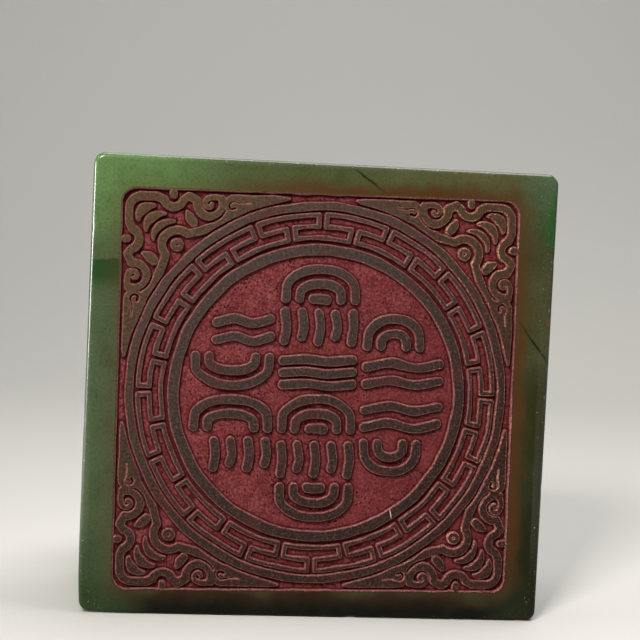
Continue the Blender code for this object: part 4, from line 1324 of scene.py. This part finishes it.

# %% [markdown]
# ## Cinnabar paste
#
# Years of printing have packed the sunk ground with red paste. It covers the ground fully and climbs the
# walls, dry and pink with dust on the open ground. Painted shade darkens the foot of each wall and the
# lower right of the ground, and the upper walls are pale pink, partly with dust and partly as a painted
# highlight. Small pits show the old tool marks.

# %% Red ground
edge = node("Attribute", {}, 2, attribute_name="edge")
in_panel = times(ramp(beside, 0.25, 0.45, 1.0, 0.0), ramp(behind, 2.0, 3.0, 1.0, 0.0))
fine = noise(place, 0.55, 4.0, 0.75)
ragged = times(minus(fine, 0.5), 0.5)
packed = times(ramp(plus(behind, ragged), 0.0, 0.22), in_panel)
dust = noise(place, 3.0, 5.0, 0.62)
# Painted shade: the paste is darker towards the lower right, where the light falls off.
painted_lower_right_shade = times(near(loose, (38, 0, -24), (85, 30, 80)), 0.45)
# Painted shade: the paste is darkened at the foot of each wall, where the walls shade the ground.
foot = times(ramp(edge, 0.64, 0.34, 0.0, 0.75), ramp(edge, 0.10, 0.24))
# Pale pink on the upper part of each wall: partly paste dust, partly a painted highlight on the lit lips.
wall_dust_and_highlight = times(ramp(edge, 0.18, 0.08, 0.0, 0.8), ramp(fine, 0.36, 0.52))
pits = node("TexVoronoi", {"Vector": place, "Scale": 1.3, "Randomness": 1.0})
pit = times(ramp(pits, 0.18, 0.34, 1.0, 0.0), ramp(noise(place, 6.0, 2.0), 0.48, 0.60))
paste = layered(srgb(100, 39, 41), (ramp(dust, 0.35, 0.65), (120, 56, 58)),
                (ramp(fine, 0.50, 0.38, 0.0, 0.8), (60, 12, 14)),
                (ramp(fine, 0.54, 0.64, 0.0, 0.6), (148, 90, 90)), (painted_lower_right_shade, (88, 29, 30)),
                (foot, (52, 4, 7)), (wall_dust_and_highlight, (158, 102, 100)), (times(pit, 0.9), (22, 4, 6)))
tell("red ground")

# %% [markdown]
# ## Film and crust on the raised lines
#
# The tops of the lines print the seal, so paste is wiped from them, but years of it have left a dark
# stain on them. Towards the rim the stain is an olive brown, in the middle a dark grey with pale specks,
# and dry pink and golden crumbs cling along the edges, most on the right. Painted light makes the tops
# lighter towards the upper left, and a painted highlight, mixed with pink paste dust, runs along their
# edges.

# %% Stain on the tops, crust on the edges
CRUMBLY = (((30.4, 0, -31.4), (4, 20, 4), 1.8), ((34, 0, 34), (20, 20, 16), 0.9),
           ((40, 0, -14), (10, 20, 22), 0.6))
SCRATCHES = (((16.6, -25.9), (0.4, -1.9)), ((-26.3, -29.6), (2.3, -2.3)))
radius = vector("LENGTH", vector("MULTIPLY", turned, (1, 0, 1)), output=1)
# Painted light: the tops are lighter towards the upper left and darker towards the lower right, as the light
# falls off.
painted_light_falloff = ramp(minus(up, times(across, 0.4)), -40.0, 60.0)
inner_tone = layered(srgb(36, 20, 20), (painted_light_falloff, (63, 54, 52)))
outer_tone = layered(srgb(40, 20, 15), (painted_light_falloff, (75, 60, 38)))
stain_and_light_falloff = layered(inner_tone, (ramp(radius, 36.0, 47.0), outer_tone))
films = ((ramp(dust, 0.25, 0.75, 0.88, 1.0), stain_and_light_falloff),
         (ramp(grain, 0.52, 0.66, 0.0, 0.5), (96, 78, 68)),
         (ramp(grain, 0.48, 0.38, 0.0, 0.6), (24, 16, 12)),
         # Partly paste dust, partly a painted highlight: the tops turn pink within about 0.2 mm of their
         # edges.
         (ramp(plus(edge, ragged), -0.20, 0.06, 0.0, 0.8), (128, 76, 72)),
         (ramp(noise(place, 9.0, 3.0), 0.50, 0.72, 0.0, 0.4), (74, 32, 30)))
top = layered(colour, *[(times(mask, in_panel), tint) for mask, tint in films])
for middle, run in SCRATCHES:
    line = times(streak(middle, run, 0.05, 0.16, 0.0), near(place, (middle[0], 0, middle[1]), (1.6, 4, 1.6)))
    top = layered(top, (line, (186, 170, 158)))
crumbs = plus(noise(place, 0.40, 3.0, 0.6),
              *[times(near(place, middle, reach), 0.09 * more) for middle, reach, more in CRUMBLY])
crumb = times(ramp(crumbs, 0.57, 0.66), ramp(edge, -0.20, -0.05), ramp(edge, 0.12, 0.26, 1.0, 0.0),
              in_panel, ramp(across, -30.0, 40.0, 0.35, 1.0))
crumb_colour = layered(srgb(182, 112, 104), (ramp(dust, 0.45, 0.62), (214, 174, 120)))
skin = layered(top, (packed, paste), (crumb, crumb_colour))
tell("raised lines")

# %% [markdown]
# ## The worn edge of the face
#
# The rounded edge round the face is rubbed bright by hands. It shines, and pale flecks show where the
# edge has lost small flakes. One red fleck of paste sits on the right rim.

# %% Rubbed edge
bevel = times(ramp(beside, 5.3, 5.7), ramp(behind, 1.0, 1.6, 1.0, 0.0))
fleck = times(ramp(noise(place, 0.5, 2.0, 0.6), 0.66, 0.74, 0.0, 0.8), bevel)
red_fleck = near(place, (49.4, 0, 16.9), (0.9, 2.0, 1.1))
skin = layered(skin, (fleck, (178, 192, 160)), (red_fleck, (112, 48, 40)))
tell("rubbed edge")

# %% [markdown]
# ## The shader
#
# Waxed stone has a soft gloss over a slightly translucent body, and dry paste has almost none. One shader
# serves both: the masks set its colour, roughness and surface, and what is the same everywhere is set on
# the shader itself.

# %% Gloss, surface and output
roughness = node("Mix", {0: packed, 2: ramp(cloud, 0.3, 0.7, 0.30, 0.42), 3: 0.85})
roughness = larger(roughness, times(crease_shade, 0.85))
gloss = larger(ramp(behind, 0.4, 4.0, 0.02, 0.07), ramp(behind, 41.0, 44.0, 0.0, 0.25))
gloss = times(gloss, ramp(crease_shade, 0.0, 0.5, 1.0, 0.2))
gloss = larger(gloss, times(bevel, ramp(up, -44.0, -20.0, 0.0, 0.9)))
height = minus(plus(times(fine, packed), times(grain, 0.12)), times(pit, packed, 0.9))
bump = node("Bump", {"Strength": 0.8, "Distance": 0.14 * MM, "Height": height})
shader = node("BsdfPrincipled", {
    "Base Color": skin, "Roughness": roughness, "Coat Weight": gloss, "Normal": bump,
    "Coat Roughness": 0.22, "IOR": 1.5, "Specular IOR Level": 0.1, "Subsurface Weight": 0.12,
    "Subsurface Radius": (1.0, 1.3, 0.7), "Subsurface Scale": 1.0 * MM})
node("OutputMaterial", {"Surface": shader})
seal.data.materials.clear()
seal.data.materials.append(stone)
tell("shader")

# %% [markdown]
# ## Floor and backdrop
#
# A pale sheet lies under the seal and curves up behind it, as in a photographer's studio. It is a profile
# of a floor, a quarter circle and a wall, carried sideways.

# %% Pale sweep
FLOOR_FRONT = -1.2
WALL_Y = 0.75
WALL_TOP = 1.8
WALL_BEND = 0.35
SWEEP_HALF = 1.6


def sweep():
    """Profile: y from the front to the bend at z 0, then a quarter circle, then straight up."""
    bend = arc((WALL_Y - WALL_BEND, WALL_BEND), WALL_BEND, -90, 0, 33)
    profile = np.vstack(([(FLOOR_FRONT, 0)], bend, [(WALL_Y, WALL_TOP)]))
    vertices = [(side, y, z + seal_low[2]) for side in (-SWEEP_HALF, SWEEP_HALF) for y, z in profile]
    count = len(profile)
    faces = [(k, k + count, k + count + 1, k + 1) for k in range(count - 1)]
    thing = mesh_object("floor_sweep", vertices, faces)
    thing.data.polygons.foreach_set("use_smooth", [True] * len(thing.data.polygons))
    return thing


paper = bpy.data.materials.new("pale_paper")
paper.use_nodes = True
for name, value in (("Base Color", srgb(214, 211, 205)), ("Roughness", 0.9)):
    paper.node_tree.nodes["Principled BSDF"].inputs[name].default_value = value
floor = sweep()
floor.data.materials.append(paper)
print("faces in the sweep:", len(floor.data.polygons))

# %% [markdown]
# ## Light
#
# The photograph's light comes from the upper left, close enough to the face's normal that the walls cast
# narrow shadows. A key lamp does this, with a weak fill opposite. One lamp from the left and one from
# above draw the bright lines along the worn edges, and the upper one also lights the backdrop.

# %% Lamps and surroundings
def set_up(name, data, columns, place):
    """A new object from its data, its right, upward and backward directions as columns, and its place."""
    thing = bpy.data.objects.new(name, data)
    thing.matrix_world = Matrix([(*row, p) for row, p in zip(columns, place)] + [(0, 0, 0, 1)])
    scene.collection.objects.link(thing)
    return thing


def lamp(name, place, aim, size, watts, tint, spread=180):
    """A square lamp that faces a point. Its light stays inside a cone of spread degrees."""
    light = bpy.data.lights.new(name, "AREA")
    light.size = size
    light.spread = math.radians(spread)
    light.energy = watts
    light.color = tint
    back = np.array(place) - np.array(aim)
    back /= np.linalg.norm(back)
    right = np.cross((0, 0, 1), back)
    right /= np.linalg.norm(right)
    set_up(name, light, np.column_stack((right, np.cross(back, right), back)), place)


face_middle = (0, FACE_Y, MIDDLE_Z)
lamp("key_lamp", (-0.20, -0.50, 0.38), face_middle, 0.14, 0.28, (1.0, 0.98, 0.95), 45)
lamp("fill_lamp", (0.70, -0.50, 0.35), face_middle, 0.60, 0.08, (0.95, 0.97, 1.0), 70)
lamp("left_lamp", (-0.70, -0.04, 0.06), (0, 0, 0.03), 0.16, 0.6, (1.0, 1.0, 1.0), 70)
lamp("top_lamp", (0.16, 0.10, 0.85), (0, 0.16, 0), 0.60, 6.0, (1.0, 1.0, 1.0))

world = bpy.data.worlds.new("studio")
world.use_nodes = True
for name, value in (("Color", (0.9, 0.95, 1.0, 1.0)), ("Strength", 0.08)):
    world.node_tree.nodes["Background"].inputs[name].default_value = value
scene.world = world
scene.view_settings.view_transform = "Standard"

# %% [markdown]
# ## Camera
#
# The camera stands where the photographer's did, worked out from the face's four corners in the
# photograph: level with the face's upper part, in front of its left edge, and rolled a little.

# %% Camera from its place and three angles
CAMERA_PLACE = np.array((-0.0509, FACE_Y - 0.3900, MIDDLE_Z + 0.0404))
AZIMUTH, ELEVATION, ROLL = (math.radians(angle) for angle in (7.32, -3.62, 2.74))
LENS = 103.5
SENSOR_WIDTH = 36
CLIP_START = 0.01


def look(azimuth, elevation, roll):
    """Columns right, up and back of a camera that looks by azimuth from +Y and elevation, then rolls."""
    ahead = np.array((math.sin(azimuth) * math.cos(elevation), math.cos(azimuth) * math.cos(elevation),
                      math.sin(elevation)))
    level = np.cross(ahead, (0, 0, 1))
    level /= np.linalg.norm(level)
    above = np.cross(level, ahead)
    right = level * math.cos(roll) + above * math.sin(roll)
    top = above * math.cos(roll) - level * math.sin(roll)
    return np.column_stack((right, top, -ahead))


view = bpy.data.cameras.new("camera")
view.lens = LENS
view.sensor_width = SENSOR_WIDTH
view.clip_start = CLIP_START
scene.camera = set_up("camera", view, look(AZIMUTH, ELEVATION, ROLL), CAMERA_PLACE)
print("camera, mm from the face:", round((FACE_Y - CAMERA_PLACE[1]) / MM))

# %% Finish
bpy.context.view_layer.update()
